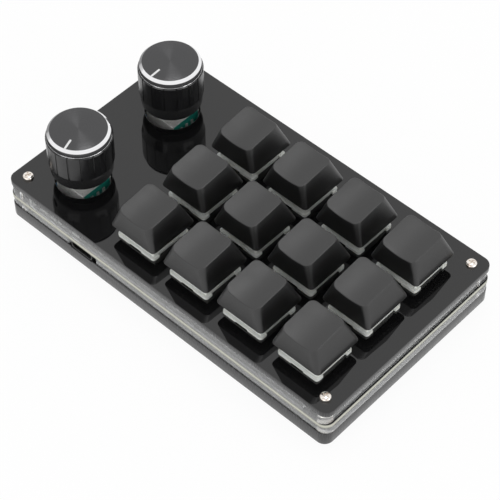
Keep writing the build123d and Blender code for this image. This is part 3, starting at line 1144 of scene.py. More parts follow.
@dataclass(frozen=True)
class TurnedMetal(Finish):
    """Metal from a lathe, whose fine rings run round an upright axis and stretch its gloss."""

    centre: Point = (0.0, 0.0)
    rings: float = 5.0
    upright: bool = False
    stretch: float = 0.0
    line_depth: float = 0.012
    # The last three paint shade on one side of the axis: how dark it makes the colour (1.0 for none), its
    # direction and its spread.
    painted_shade_share: float = 1.0
    painted_shade_side: float = 190.0
    painted_shade_levels: Point = (0.75, 1.05)

    def extras(self) -> dict[str, Any]:
        """Stretches the gloss across the rings."""
        return {"Anisotropic": self.stretch}

    def rings_and_painted_shade(
        self, paint: Paint, flat: Socket, rings: Socket
    ) -> Socket:
        """How bright the metal is: by its rings, or with painted shade towards one side where it has one, in
        place of the darker reflections there.

        Args:
            paint: The material in the making.
            flat: The place seen from above, from the axis.
            rings: The pattern of the rings.

        Returns:
            The socket that carries the share of the bright shade.
        """
        if self.painted_shade_share == 1.0:
            return rings
        # Painted shade: the colour darkens towards one side, broken up by noise, standing in for the dark
        # surroundings that the polished metal reflects there.
        side = math.radians(self.painted_shade_side)
        unit = paint.vector("NORMALIZE", "Vector", flat)
        facing = paint.vector("DOT_PRODUCT", "Value", unit, (math.cos(side), math.sin(side), 0.0))
        unevenness = paint.noise(unit, scale=3.0, detail=2.0)
        toward_shade = paint.compute("MULTIPLY_ADD", unevenness, 0.5, facing)
        return paint.between(toward_shade, 1.0, 0.0, *self.painted_shade_levels)

    def pattern(self, paint: Paint) -> None:
        """Adds the rings, and turns the stretched gloss across them.

        Args:
            paint: The material in the making.
        """
        place = paint.place(centre=(*self.centre, 0.0))
        parts = paint.add("SeparateXYZ", {"Vector": place}).outputs
        flat = paint.add("CombineXYZ", {"X": parts[0], "Y": parts[1]}).outputs[0]
        radius = paint.vector("LENGTH", "Value", flat)
        along = paint.add("CombineXYZ", {"X": parts[2] if self.upright else radius}).outputs[0]
        rings = paint.noise(along, self.rings, rough=0.75)
        paint.blend(self.rings_and_painted_shade(paint, flat, rings), *self.shades(self.painted_shade_share * 0.9))
        self.vary_gloss(paint, rings, 0.8, 1.25)
        across = paint.add("CombineXYZ", {"Z": 1.0}).outputs[0] if self.upright else flat
        frames = {"convert_from": "OBJECT", "convert_to": "WORLD"}
        paint.feed("Tangent", paint.add("VectorTransform", {"Vector": across}, **frames).outputs[0])
        paint.relief(rings, strength=0.35, depth=self.line_depth)


@dataclass(frozen=True)
class PlatedMetal(Finish):
    """Plated or rolled metal with small scuffs and a slight tarnish."""

    tarnish: Colour = (0.5, 0.48, 0.45)
    rolled: Size = (1.0, 1.0, 1.0)

    def pattern(self, paint: Paint) -> None:
        """Adds the tarnish and the scuffs along the rolling direction.

        Args:
            paint: The material in the making.
        """
        cloud = paint.between(paint.noise(paint.place(), scale=0.9, detail=4.0), 0.0, 1.0, 0.5, 0.75)
        paint.blend(cloud, self.colour, self.tarnish)
        scuffs = paint.noise(paint.place(self.rolled), scale=3.0, detail=4.0, rough=0.7)
        self.vary_gloss(paint, scuffs, 0.6, 1.6)
        paint.relief(scuffs, strength=0.3, depth=0.012)


class Finishes:
    """Every finish but the knobs' own, each built once."""

    def __init__(self) -> None:
        """Builds the materials."""
        black, water = (0.004, 0.004, 0.0042), (0.92, 0.93, 0.93)
        clear_cut = {"ior": 1.49, "ripple_depth": 0.0015}
        self.black_face = PolishedSheet("black_acrylic_face", black, 0.03, ior=1.58).material()
        self.black_edge = CutEdge("black_acrylic_edge", (0.035, 0.035, 0.036), 0.24, ior=1.49).material()
        self.clear_face = ClearSheet("clear_acrylic_face", (0.97, 0.98, 0.98), 0.015, ior=1.49).material()
        self.clear_edge = CutEdge("clear_acrylic_edge", water, 0.04, clear=0.88, **clear_cut).material()
        self.low_edge = CutEdge("clear_acrylic_low_edge", water, 0.06, clear=0.8, **clear_cut).material()
        self.mask = SolderMask("board_black_mask", (0.012, 0.012, 0.013), 0.45).material()
        self.laminate = LaminateEdge("board_cut_edge", (0.54, 0.54, 0.46), 0.5).material()
        self.screw = self.bare_metal("screw_nickel", (0.86, 0.82, 0.77), 0.16, tarnish=(0.5, 0.38, 0.3))
        rubber = (0.022, 0.022, 0.022)
        self.rubber = GrainedPlastic("foot_rubber", rubber, 0.8, grain=3.0, depth=0.04).material()
        # The inlet's shell gets a dark steel colour and dark tarnish as painted shade, because it sits back
        # in its pocket; the scuffs along the rolling direction are its own wear.
        worn_and_shaded = {"tarnish": (0.1, 0.095, 0.09), "rolled": (1.0, 0.1, 1.0)}
        self.port = self.bare_metal("port_shell_steel", (0.14, 0.14, 0.14), 0.3, **worn_and_shaded)
        self.set_screw = self.bare_metal("set_screw_steel", (0.74, 0.74, 0.73), 0.22)
        self.port_black = MouldedPlastic("port_tongue_plastic", (0.014, 0.014, 0.015), 0.38).material()
        self.chip = GrainedPlastic("chip_epoxy", (0.02, 0.02, 0.021), 0.55, grain=8.0).material()
        self.gold = self.bare_metal("gold_plate", (0.95, 0.70, 0.32), 0.2, tarnish=(0.75, 0.5, 0.2))
        self.tin = self.bare_metal("tinned_metal", (0.85, 0.85, 0.84), 0.22, tarnish=(0.6, 0.58, 0.55))
        self.housing = MouldedPlastic("switch_nylon", (0.84, 0.86, 0.82), 0.36, glow=0.3).material()
        self.brass = self.bare_metal("contact_brass", (0.82, 0.62, 0.30), 0.25, tarnish=(0.6, 0.4, 0.18))
        self.stem = MouldedPlastic("stem_acetal", (0.55, 0.57, 0.55), 0.35, glow=0.1).material()
        self.spring = self.bare_metal("spring_wire", (0.70, 0.70, 0.69), 0.24)
        cap = (0.003, 0.003, 0.0031)
        self.cap = GrainedPlastic("keycap_plastic", cap, 0.4, ior=1.67, grain=4.0, depth=0.05).material()
        self.ceramic = MouldedPlastic("part_ceramic", (0.92, 0.92, 0.9), 0.3).material()
        self.blue = MouldedPlastic("capacitor_blue", (0.22, 0.36, 0.58), 0.3).material()
        self.teal = MouldedPlastic("encoder_teal_plastic", (0.012, 0.23, 0.18), 0.35).material()
        self.rotor = MouldedPlastic("rotor_plastic", (0.75, 0.75, 0.72), 0.4).material()
        dull = {"metallic": 0.7, "tarnish": (0.74, 0.74, 0.72), "rolled": (0.3, 1.0, 1.0)}
        self.sheet_steel = self.bare_metal("encoder_sheet_steel", (0.86, 0.86, 0.84), 0.42, **dull)
        self.pointer = MouldedPlastic("pointer_paint", (0.82, 0.82, 0.82), 0.4).material()

    def bare_metal(self, name: str, colour: Colour, roughness: float, **more: Any) -> Material:
        """A plated or rolled metal, wholly metallic unless more says otherwise."""
        return PlatedMetal(name, colour, roughness, **{"metallic": 1.0, **more}).material()


# Handing over finished pieces


def hand_over(piece: Piece, body: str, slot: Slot, *stands_for: str) -> None:
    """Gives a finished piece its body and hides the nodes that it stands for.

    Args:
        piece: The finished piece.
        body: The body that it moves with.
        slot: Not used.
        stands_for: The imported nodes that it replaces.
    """
    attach(piece, body)
    if stands_for:
        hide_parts(*stands_for)
    LOG.info("%s rides %s with %d faces", piece.name, body, len(piece.data.polygons))


def stand_in(name: str, node: str, edge: float, finish: Material, slot: Slot) -> None:
    """Shows a node of the case with its edges rounded to a radius, as a new piece."""
    hand_over(softened(name, node, edge, finish), CASE, slot, node)


def dress(node: str, finish: Material) -> None:
    """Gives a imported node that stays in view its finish.

    Args:
        node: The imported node.
        finish: Its material.
    """
    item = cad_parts[node]
    if not item.material_slots:
        item.data.materials.append(finish)
    for place in item.material_slots:
        place.material = finish
    LOG.info("%s stays, in %s", node, finish.name)


# The layered case


@dataclass
class LayeredCase:
    """Two black plates, two clear frames and the board between them."""

    finishes: Finishes
    corner_radius: float = 3.2
    plate_edge: float = 0.14
    clear_edge: float = 0.1
    board_edge: float = 0.06
    air_gap: float = 0.02
    wall: float = 3.0
    corner_block: float = 9.6
    inner_corner: float = 0.5
    screw_inset: float = 4.8
    screw_hole: float = 1.15
    switch_hole: float = 14.0
    switch_hole_corner: float = 0.35
    knob_hole: float = 8.9
    post_hole: float = 2.05
    nut_pocket_flats: float = 4.2
    nut_pocket_depth: float = 1.8
    port_margin: float = 0.15
    port_gap: float = 0.9
    end_radius: float = 1.3
    end_steps: int = 8

    def __post_init__(self) -> None:
        """Reads the places of screws, keys, knobs and inlet from the imported model."""
        self.half = Extent.of("top_plate").size / 2
        reach = self.half - Vector((self.screw_inset, self.screw_inset, 0))
        self.screws = [(sx * reach.x, sy * reach.y) for sx in (-1, 1) for sy in (-1, 1)]
        self.keys = key_axes()
        self.knobs = [knob_axis(side) for side in Side]
        self.port = Extent.of("usb_shell")

    def sheet(
        self,
        node: str,
        holes: Sequence[Sequence[Point]],
        edge: float,
        skins: tuple[Material, Material],
        slot: Slot,
        cutter: Shell | None = None,
        gap: float = 0.0,
    ) -> None:
        """Cuts one sheet to its node's outline and hands it over.

        Args:
            node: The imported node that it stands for.
            holes: The outlines of its holes, besides those of the screws.
            edge: The radius of its edges.
            skins: The finishes of its faces and of its cut edges.
            slot: The record's slot.
            cutter: What is milled away, or none.
            gap: How much air is left under and over the sheet.
        """
        box = Extent.of(node)
        outline = box_outline(box.size.x, box.size.y, self.corner_radius, steps=12)
        cuts = [*(circle_outline(self.screw_hole, place, steps=32) for place in self.screws), *holes]
        shell = Shell().slab(outline, box.low.z + gap, box.high.z - gap, edge, cuts, tuple(Skin))
        piece = shell.finish(f"{node}_sheet", skins)
        if cutter:
            piece = carved(piece, cutter.finish("cutter"))
        hand_over(piece, CASE, slot, node)

    def plates(self) -> None:
        """The two glossy black plates, with the nut and inlet pockets in the lower one."""
        skins = (self.finishes.black_face, self.finishes.black_edge)
        cut = (Skin.EDGE, Skin.EDGE)
        width, corner = self.switch_hole, self.switch_hole_corner
        holes = [box_outline(width, width, corner, key) for key in self.keys]
        holes += [circle_outline(self.knob_hole, knob, steps=96) for knob in self.knobs]
        self.sheet("top_plate", holes, self.plate_edge, skins, Slot.BLACK_ACRYLIC)
        plate = Extent.of("bottom_plate")
        pockets = Shell()
        for place in self.screws:
            hexagon = hexagon_outline(self.nut_pocket_flats, place)
            pockets.slab(hexagon, plate.low.z - OVERSHOOT, plate.low.z + self.nut_pocket_depth, skins=cut)
        depth = self.port.high.y + self.port_margin - plate.low.y
        length = self.port.size.x + 2 * self.port_margin
        bed = box_outline(length, 2 * depth, centre=(self.port.middle.x, plate.low.y))
        pockets.slab(bed, self.port.low.z - self.port_margin, plate.high.z + OVERSHOOT, skins=cut)
        self.sheet("bottom_plate", [], self.plate_edge, skins, Slot.BLACK_ACRYLIC, pockets)

    def port_opening(self, box: Extent) -> list[Point]:
        """The outline that leaves the wall's two ends round beside the inlet.

        Args:
            box: The lower frame's box.

        Returns:
            The outline, wider outside the wall than through it.
        """
        reach, radius = self.port.size.x / 2 + self.port_gap, self.end_radius
        side = [(reach + radius, box.low.y - OVERSHOOT)]
        for step in range(self.end_steps + 1):
            angle = QUARTER_TURN * step / self.end_steps
            side.append((reach + radius * (1 - math.sin(angle)), box.low.y + radius * (1 - math.cos(angle))))
        side.append((reach, box.low.y + self.wall + OVERSHOOT))
        return [(self.port.middle.x + x, y) for x, y in [*side, *((-x, y) for x, y in reversed(side))]]

    def spacers(self) -> None:
        """The two clear frames, the lower with a gap for the inlet."""
        skins = (self.finishes.clear_face, self.finishes.clear_edge)
        x_wall, y_wall = self.half.x - self.wall, self.half.y - self.wall
        x_block, y_block = self.half.x - self.corner_block, self.half.y - self.corner_block
        quarter = [(x_wall, y_block), (x_block, y_block), (x_block, y_wall)]
        corners = quarter + [(-x, y) for x, y in reversed(quarter)]
        corners += [(-x, -y) for x, y in quarter] + [(x, -y) for x, y in reversed(quarter)]
        inner = rounded_outline(corners, self.inner_corner, steps=4)
        self.sheet("upper_spacer", [inner], self.clear_edge, skins, Slot.CLEAR_ACRYLIC, gap=self.air_gap)
        box = Extent.of("lower_spacer")
        bottom, top = box.low.z - OVERSHOOT, box.high.z + OVERSHOOT
        cutter = Shell().slab(self.port_opening(box), bottom, top, skins=(Skin.EDGE, Skin.EDGE))
        skins = (self.finishes.clear_face, self.finishes.low_edge)
        self.sheet("lower_spacer", [inner], self.clear_edge, skins, Slot.CLEAR_ACRYLIC, cutter, self.air_gap)

    def board(self) -> None:
        """The circuit board, black on both sides and pale on its cut edge."""
        holes = [circle_outline(self.post_hole, key, steps=24) for key in self.keys]
        skins = (self.finishes.mask, self.finishes.laminate)
        self.sheet("circuit_board", holes, self.board_edge, skins, Slot.BOARD)

    def build(self) -> None:
        """Builds all five sheets."""
        self.plates()
        self.spacers()
        self.board()


@dataclass
class Fasteners:
    """The four pan-head screws with their nuts, and the four rubber feet."""

    finishes: Finishes
    grid: GridPattern
    head_radius: float = 1.75
    head_height: float = 1.2
    head_dome: tuple[Point, ...] = ((0.0, 0.0), (0.45, 0.02), (0.75, 0.14), (0.93, 0.38), (1.0, 0.7))
    shank_radius: float = 1.0
    thread_pitch: float = 0.4
    thread_depth: float = 0.16
    tip_cut: float = 0.2
    cross_length: float = 2.0
    cross_width: float = 0.45
    cross_depth: float = 0.7
    nut_flats: float = 4.0
    nut_edge: float = 0.12
    nut_play: float = 0.03
    foot_radius: float = 4.0
    foot_edge: float = 0.5
    foot_hollow: tuple[Point, ...] = ((0.0, 0.12), (0.6, 0.08), (0.68, 0.0), (1.0, 0.0))

    def reach(self, node: str, own: float) -> Point:
        """The grid between four round pieces, from their node's box and the radius of each."""
        size = Extent.of(node).size
        return size.x - 2 * own, size.y - 2 * own

    def screws(self) -> None:
        """Pan-head screws with a cross recess, each stopped at its own angle."""
        box, finish = Extent.of("corner_screws"), self.finishes.screw
        radius, top, bottom, shank = self.head_radius, box.high.z, box.low.z, self.shank_radius
        seat, pitch = top - self.head_height, self.thread_pitch
        points = [(radius * share, top - drop) for share, drop in self.head_dome]
        points += [(radius, seat), (shank, seat)]
        for turn in range(int((seat - 2 * pitch - bottom) / pitch)):
            level = seat - pitch - turn * pitch
            points += [(shank, level), (shank - self.thread_depth, level - pitch / 2)]
        points += [(shank, bottom + self.tip_cut), (shank - self.tip_cut, bottom), (0.0, bottom)]
        screw = Turning(profile_at(0.0, points), even_angles(32)).shell().finish("screw", [finish])
        cross = cross_outline(self.cross_length, self.cross_width)
        recess = Shell().slab(cross, top - self.cross_depth, top + OVERSHOOT)
        screw = carved(screw, recess.finish("recess"))
        reach = self.reach("corner_screws", radius)
        screws = self.grid.over("corner_screw_set", screw, reach, (2, 2), finish, turn=QUARTER_TURN)
        hand_over(screws, CASE, Slot.SCREW, "corner_screws")

    def nuts(self) -> None:
        """Hexagon nuts on the screws, in the pockets of the bottom plate."""
        box, finish = Extent.of("corner_nuts"), self.finishes.screw
        bore = [circle_outline(self.shank_radius + self.nut_play, steps=24)]
        shell = Shell().slab(hexagon_outline(self.nut_flats), box.low.z, box.high.z, self.nut_edge, bore)
        reach = self.reach("corner_screws", self.head_radius)
        nuts = self.grid.over("corner_nut_set", shell.finish("nut", [finish]), reach, (2, 2), finish)
        hand_over(nuts, CASE, Slot.SCREW, "corner_nuts")

    def feet(self) -> None:
        """Round rubber feet with a soft lower edge."""
        box, finish, radius = Extent.of("rubber_feet"), self.finishes.rubber, self.foot_radius
        points = [(radius * share, box.low.z + rise) for share, rise in self.foot_hollow]
        points += [(radius, box.high.z), (0.0, box.high.z)]
        turned = Turning(profile_at(0.0, points)).eased(self.foot_edge, steps=4)
        foot = turned.shell().finish("foot", [finish])
        feet = self.grid.over("rubber_foot_set", foot, self.reach("rubber_feet", radius), (2, 2), finish)
        hand_over(feet, CASE, Slot.RUBBER, "rubber_feet")

    def build(self) -> None:
        """Builds screws, nuts and feet."""
        self.screws()
        self.nuts()
        self.feet()


# What the board carries


@dataclass
class BoardParts:
    """The inlet, and the parts that are soldered on and under the board."""

    finishes: Finishes
    grid: GridPattern
    row: RowPattern
    shell_edge: float = 0.08
    tongue_edge: float = 0.05
    pad_pitch: float = 0.5
    pads: int = 12
    pad: Size = (0.26, 2.6, 0.04)
    pad_corner: float = 0.04
    pad_start: float = 1.8
    pad_level: float = 0.35
    chip: Size = (9.9, 3.9, 1.5)
    chip_edge: float = 0.12
    chip_place: Point = (-34.0, -14.0)
    legs: int = 8
    leg_pitch: float = 1.1
    leg: Size = (0.4, 0.9, 0.7)
    leg_foot: float = 0.12
    leg_wall: float = 0.15
    leg_wall_offset: float = 0.4
    leg_gap: float = 0.02
    crystal: Size = (5.0, 3.2, 1.1)
    crystal_edge: float = 0.3
    crystal_gap: float = 2.0
    diode: Size = (2.7, 1.6, 1.1)
    diode_body: float = 0.8
    diode_end: Point = (0.14, 0.6)
    diode_end_place: float = 0.43
    diode_end_rise: float = 0.3
    diode_offset: float = -6.8
    pin_places: tuple[Point, Point] = ((-3.81, 2.54), (2.54, 4.6))
    solder_cone: tuple[Point, ...] = ((0.0, -0.85), (0.5, -0.8), (0.62, -0.45), (1.15, 0.0), (0.0, 0.0))
    part_edge: float = 0.1
    edge_inset: float = 3.9
    edge_height: float = 2.0
    edge_depth: float = 0.9
    edge_rows: tuple[tuple[float, int], ...] = ((-56.6, 3), (-51.6, 4), (-47.6, 3), (-44.6, 2), (-37.4, 4))
    edge_row_shift: float = 0.25
    edge_leg: Point = (0.6, 0.5)
    edge_leg_edge: float = 0.05
    edge_leg_pitch: float = 0.8
    edge_leg_shift: float = -0.4
    edge_pads: tuple[Point, ...] = ((-42.4, 1.4), (-30.1, 2.5), (-26.6, 2.1))
    edge_pad_share: float = 0.8
    edge_pins: tuple[float, ...] = (-60.6, -54.6)
    edge_pin: tuple[Point, ...] = ((0.0, -2.3), (0.3, -2.2), (0.45, -0.6), (0.9, 0.0), (0.0, 0.0))
    capacitor: Size = (1.4, 2.2, 1.1)
    capacitor_edge: float = 0.15
    capacitor_place: Point = (-7.4, -4.7)

    def __post_init__(self) -> None:
        """Reads the key grid and the board's underside from the imported model."""
        first, *_, last = key_axes()
        self.reach = (last.x - first.x, last.y - first.y)
        self.centre = ((first.x + last.x) / 2, (first.y + last.y) / 2)
        self.underside = Extent.of("circuit_board").low.z

    def inlet(self) -> None:
        """The steel shell of the inlet and its tongue with gilt pads."""
        stand_in("inlet_shell", "usb_shell", self.shell_edge, self.finishes.port, Slot.PORT_STEEL)
        stand_in("inlet_tongue", "usb_tongue", self.tongue_edge, self.finishes.port_black, Slot.PORT_BLACK)
        box, level = Extent.of("usb_tongue"), Extent.of("usb_shell").middle.z
        left = box.middle.x - self.pad_pitch * (self.pads - 1) / 2
        outline = box_outline(self.pad[0], self.pad[1], self.pad_corner, steps=2)
        half, step, gold = self.pad[2] / 2, (self.pad_pitch, 0, 0), self.finishes.gold
        rows = []
        for side in (-1, 1):
            pad = Shell().slab(outline, -half, half).finish("pad")
            start = (left, box.low.y + self.pad_start, level + side * self.pad_level)
            rows.append(self.row.along("pads", pad, self.pads, start, step, gold))
        hand_over(merged("inlet_contact_pads", rows), CASE, Slot.PORT_BLACK)

    def block(
        self, name: str, size: Sequence[float], place: Sequence[float], edge: float, finish: Material
    ) -> Piece:
        """A small block with round edges, on the middle of its underside."""
        outline = box_outline(size[0], size[1], edge, place, steps=3)
        return Shell().slab(outline, place[2], place[2] + size[2], edge).finish(name, [finish])

    def under_board(self) -> None:
        """The controller with its legs, the crystal and a diode for each key, under the board."""
        board, (x, y) = self.underside, self.chip_place
        length, depth, height = self.chip
        width, reach, rise = self.leg
        chip, tin = self.finishes.chip, self.finishes.tin
        parts = [self.block("body", self.chip, (x, y, board - height), self.chip_edge, chip)]
        left = x - self.leg_pitch * (self.legs - 1) / 2
        for side in (-1, 1):
            wall = box_outline(width, self.leg_wall, centre=(0.0, -side * self.leg_wall_offset))
            leg = Shell().slab(box_outline(width, reach), board - self.leg_foot, board - self.leg_gap)
            leg.slab(wall, board - rise, board - self.leg_gap)
            start, step = (left, y + side * (depth / 2 + reach / 2), 0.0), (self.leg_pitch, 0, 0)
            parts.append(self.row.along("legs", leg.finish("leg"), self.legs, start, step, tin))
        place = (x + (length + self.crystal[0]) / 2 + self.crystal_gap, y, board - self.crystal[2])
        parts.append(self.block("can", self.crystal, place, self.crystal_edge, tin))
        long, wide, high = self.diode
        centre = (self.centre[0], self.centre[1] + self.diode_offset, 0)
        size = (long * self.diode_body, wide, high)
        body = self.block("diode", size, (0, 0, board - high), self.part_edge, chip)
        parts.append(self.grid.over("diode_bodies", body, self.reach, KEY_GRID, chip, centre))
        ends = Shell()
        for side in (-1, 1):
            middle = (side * long * self.diode_end_place, 0)
            end = box_outline(long * self.diode_end[0], wide * self.diode_end[1], centre=middle)
            ends.slab(end, board - high + self.diode_end_rise, board)
        parts.append(self.grid.over("diode_ends", ends.finish("ends"), self.reach, KEY_GRID, tin, centre))
        hand_over(merged("parts_under_board", parts), CASE, Slot.PORT_BLACK, "board_electronics")

    def edge_row(self, x: float, count: int, y: float, top: float) -> list[Piece]:
        """One flat black part with a row of pale legs towards the wall.

        Args:
            x: Its middle along the wall.
            count: How many legs it has.
            y: The middle line of the row of parts.
            top: The height of the board's upper side.

        Returns:
            The part and its legs.
        """
        pitch, chip, ceramic = self.edge_leg_pitch, self.finishes.chip, self.finishes.ceramic
        size, place = (count * pitch, self.edge_depth, self.edge_height), (x, y + self.edge_row_shift, top)
        part = self.block("array", size, place, self.part_edge, chip)
        leg = Shell().slab(box_outline(*self.edge_leg), top, top + self.edge_height, self.edge_leg_edge)
        start = (x - pitch * (count - 1) / 2, y + self.edge_leg_shift, 0.0)
        return [part, self.row.along("array_legs", leg.finish("leg"), count, start, (pitch, 0, 0), ceramic)]

    def edge_parts(self) -> None:
        """The small parts behind the clear wall of the inlet's side and beside the encoders, and two pins."""
        box = Extent.of("circuit_board")
        y, top = box.low.y + self.edge_inset, box.high.z
        blue, gold, ceramic = self.finishes.blue, self.finishes.gold, self.finishes.ceramic
        parts = []
        for x, count in self.edge_rows:
            parts += self.edge_row(x, count, y, top)
        for (x, length), finish in zip(self.edge_pads, (blue, gold, ceramic)):
            size = (length, self.edge_depth, self.edge_height * self.edge_pad_share)
            parts.append(self.block("pad", size, (x, y, top), self.part_edge, finish))
        for side in Side:
            knob = knob_axis(side)
            place = (knob.x + self.capacitor_place[0], knob.y + self.capacitor_place[1], top)
            parts.append(self.block("capacitor", self.capacitor, place, self.capacitor_edge, blue))
        for x in self.edge_pins:
            pin = Turning(profile_at(box.low.z, self.edge_pin)).shell()
            parts.append(pin.finish("pin", [self.finishes.tin], Matrix.Translation((x, y, 0))))
        hand_over(merged("edge_row_parts", parts), CASE, Slot.PORT_BLACK)

    def solder(self) -> None:
        """The solder cones round the switches' pins."""
        joints = []
        for x, y in self.pin_places:
            profile = profile_at(self.underside, self.solder_cone)
            cone = Turning(profile, even_angles(12)).shell().finish("cone")
            place = (self.centre[0] + x, self.centre[1] + y, 0.0)
            joints.append(self.grid.over("cones", cone, self.reach, KEY_GRID, self.finishes.tin, place))
        hand_over(merged("solder_joints", joints), CASE, Slot.SCREW)

    def build(self) -> None:
        """Builds the inlet and the soldered parts."""
        self.inlet()
        self.under_board()
        self.edge_parts()
        self.solder()


# Keys


@dataclass
class Keycaps:
    """Twelve caps that narrow to a tilted top with a shallow dish along Y."""

    finishes: Finishes
    corner: float = 1.4
    top_width: float = 12.8
    top_length: float = 13.7
    top_shift: float = -1.15
    top_corner: float = 2.2
    front_height: float = 13.3
    back_height: float = 14.6
    dish: float = 1.0
    dish_overrun: float = 0.175
    wall: float = 1.3
    roof: float = 1.5
    rim: float = 0.3
    rim_steps: int = 5
    foot_inset: float = 0.012
    wall_shares: tuple[float, ...] = (0.02, 0.25, 0.5, 0.75)
    dish_shares: tuple[float, ...] = (0.88, 0.74, 0.58, 0.42, 0.26, 0.12)
    halvings: int = 24
    post_radius: float = 2.7
    post_start: float = 6.7
    post_edge: float = 0.12
    post_overlap: float = 0.3
    slot_length: float = 4.06
    slot_width: float = 1.26

    def __post_init__(self) -> None:
        """Works out the tilt of the top and the radius of its dish."""
        self.deck = Extent.of("top_plate").high.z
        tilt = math.asin((self.back_height - self.front_height) / self.top_length)
        chord = self.top_width / 2 + self.dish_overrun
        self.dish_radius = (chord**2 + self.dish**2) / (2 * self.dish)
        middle = self.deck + (self.front_height + self.back_height) / 2
        self.top = Matrix.Translation((0, self.top_shift, middle)) @ Matrix.Rotation(tilt, 4, "X")

    def dish_level(self, x: float) -> float:
        """The dish's height over the top's plane at a distance across it."""
        return self.dish_radius - self.dish - math.sqrt(self.dish_radius**2 - x**2)

    def crossing(self, low: Vector, high: Vector) -> float:
        """The share of the way up a line of the wall at which it meets the dish.

        Args:
            low: The line's lower end, in the top's own place.
            high: Its upper end.

        Returns:
            The share, from 0 to 1.
        """
        under, over = 0.5, 1.0
        for _ in range(self.halvings):
            share = (under + over) / 2
            point = low.lerp(high, share)
            under, over = (share, over) if point.z < self.dish_level(point.x) else (under, share)
        return under

    def form(self, width: float, bottom: float) -> Shell:
        """Builds one cap about the origin.

        Args:
            width: The skirt's width.
            bottom: The skirt's height.

        Returns:
            The closed shell with its post.
        """
        shell = Shell()
        shape = {"steps": 8, "straight": 12}
        inverse = self.top.inverted()
        skirt = [inverse @ Vector((*p, bottom)) for p in box_outline(width, width, self.corner, **shape)]
        outline = box_outline(self.top_width, self.top_length, self.top_corner, **shape)
        crown = [Vector((*p, 0)) for p in outline]
        inner_width = width - 2 * self.wall
        inner = box_outline(inner_width, inner_width, self.corner - self.wall / 2, **shape)
        drop = -self.dish - self.roof
        ceiling_width, ceiling_length = self.top_width - 2 * self.wall, self.top_length - 2 * self.wall
        ceiling = box_outline(ceiling_width, ceiling_length, self.top_corner - self.wall, **shape)
        rows = [[Vector((*p, drop)) for p in ceiling], [inverse @ Vector((*p, bottom)) for p in inner]]
        rows.append([p.lerp(inverse @ Vector((0, 0, bottom)), self.foot_inset) for p in skirt])
        shares = [self.crossing(low, high) for low, high in zip(skirt, crown)]
        edges = [low.lerp(high, share) for low, high, share in zip(skirt, crown, shares)]
        starts = [edge + (low - edge).normalized() * self.rim for low, edge in zip(skirt, edges)]
        rows += [[low.lerp(start, level) for low, start in zip(skirt, starts)] for level in self.wall_shares]
        insides = []
        for edge in edges:
            inward = Vector((edge.x, edge.y)) * (1 - self.rim / Vector((edge.x, edge.y)).length)
            insides.append(Vector((inward.x, inward.y, self.dish_level(inward.x))))
        for step in range(self.rim_steps + 1):
            share = step / self.rim_steps
            rows.append([bend(a, b, c, share) for a, b, c in zip(starts, edges, insides)])
        for scale in self.dish_shares:
            rows.append([Vector((p.x * scale, p.y * scale, self.dish_level(p.x * scale))) for p in insides])
        rings = [shell.ring([self.top @ point for point in row]) for row in rows]
        for low, high in zip(rings, rings[1:]):
            shell.bridge(low, high)
        shell.fan(rings[0], self.top @ Vector((0, 0, drop)))
        shell.fan(rings[-1], self.top @ Vector((0, 0, -self.dish)))
        slot = cross_outline(self.slot_length, self.slot_width)
        top = (self.top @ Vector((0, -self.top_shift, drop))).z + self.post_overlap
        post = circle_outline(self.post_radius, steps=40)
        return shell.slab(post, self.deck + self.post_start, top, self.post_edge, [slot])

    def build(self) -> None:
        """Builds one cap and copies it to the twelve keys."""
        box = Extent.of("keycap_01")
        pattern = self.form(box.size.x, box.low.z).finish("keycap_pattern", [self.finishes.cap])
        for number, axis in zip(KEY_NUMBERS, key_axes()):
            data = pattern.data.copy()
            data.transform(Matrix.Translation(metres((axis.x, axis.y, 0))))
            cap = add_object(f"keycap_shell_{number}", data)
            hand_over(cap, f"key_{number}", Slot.CAP, f"keycap_{number}")
        bpy.data.objects.remove(pattern)


@dataclass
class Switches:
    """The twelve switches: their housings, springs, stems and contacts."""

    finishes: Finishes
    coil: CoilPath
    edge: float = 0.11
    spring_turns: float = 7.5
    spring_radius: float = 2.32
    wire: float = 0.2
    pressed_height: float = 3.0

    def housings(self) -> None:
        """The lower and upper halves of the housings, with their edges rounded."""
        for half in ("lower", "upper"):
            node = f"switch_{half}_housings"
            stand_in(f"switch_{half}_shells", node, self.edge, self.finishes.housing, Slot.SWITCH)

    def springs(self) -> None:
        """A wound spring in each switch."""
        for number in KEY_NUMBERS:
            node = f"key_spring_{number}"
            box = Extent.of(node)
            spring = self.coil.wound(
                f"spring_coil_{number}", self.spring_turns, self.spring_radius, self.wire,
                box.low.z, box.high.z, box.middle, self.finishes.spring,
            )
            hand_over(spring, CASE, Slot.SPRING, node)
            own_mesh(spring)

    def build(self) -> None:
        """Builds housings and springs, and dresses the stems and contacts."""
        self.housings()
        self.springs()
        dress("switch_contacts", self.finishes.brass)
        for number in KEY_NUMBERS:
            dress(f"key_stem_{number}", self.finishes.stem)


# Knobs


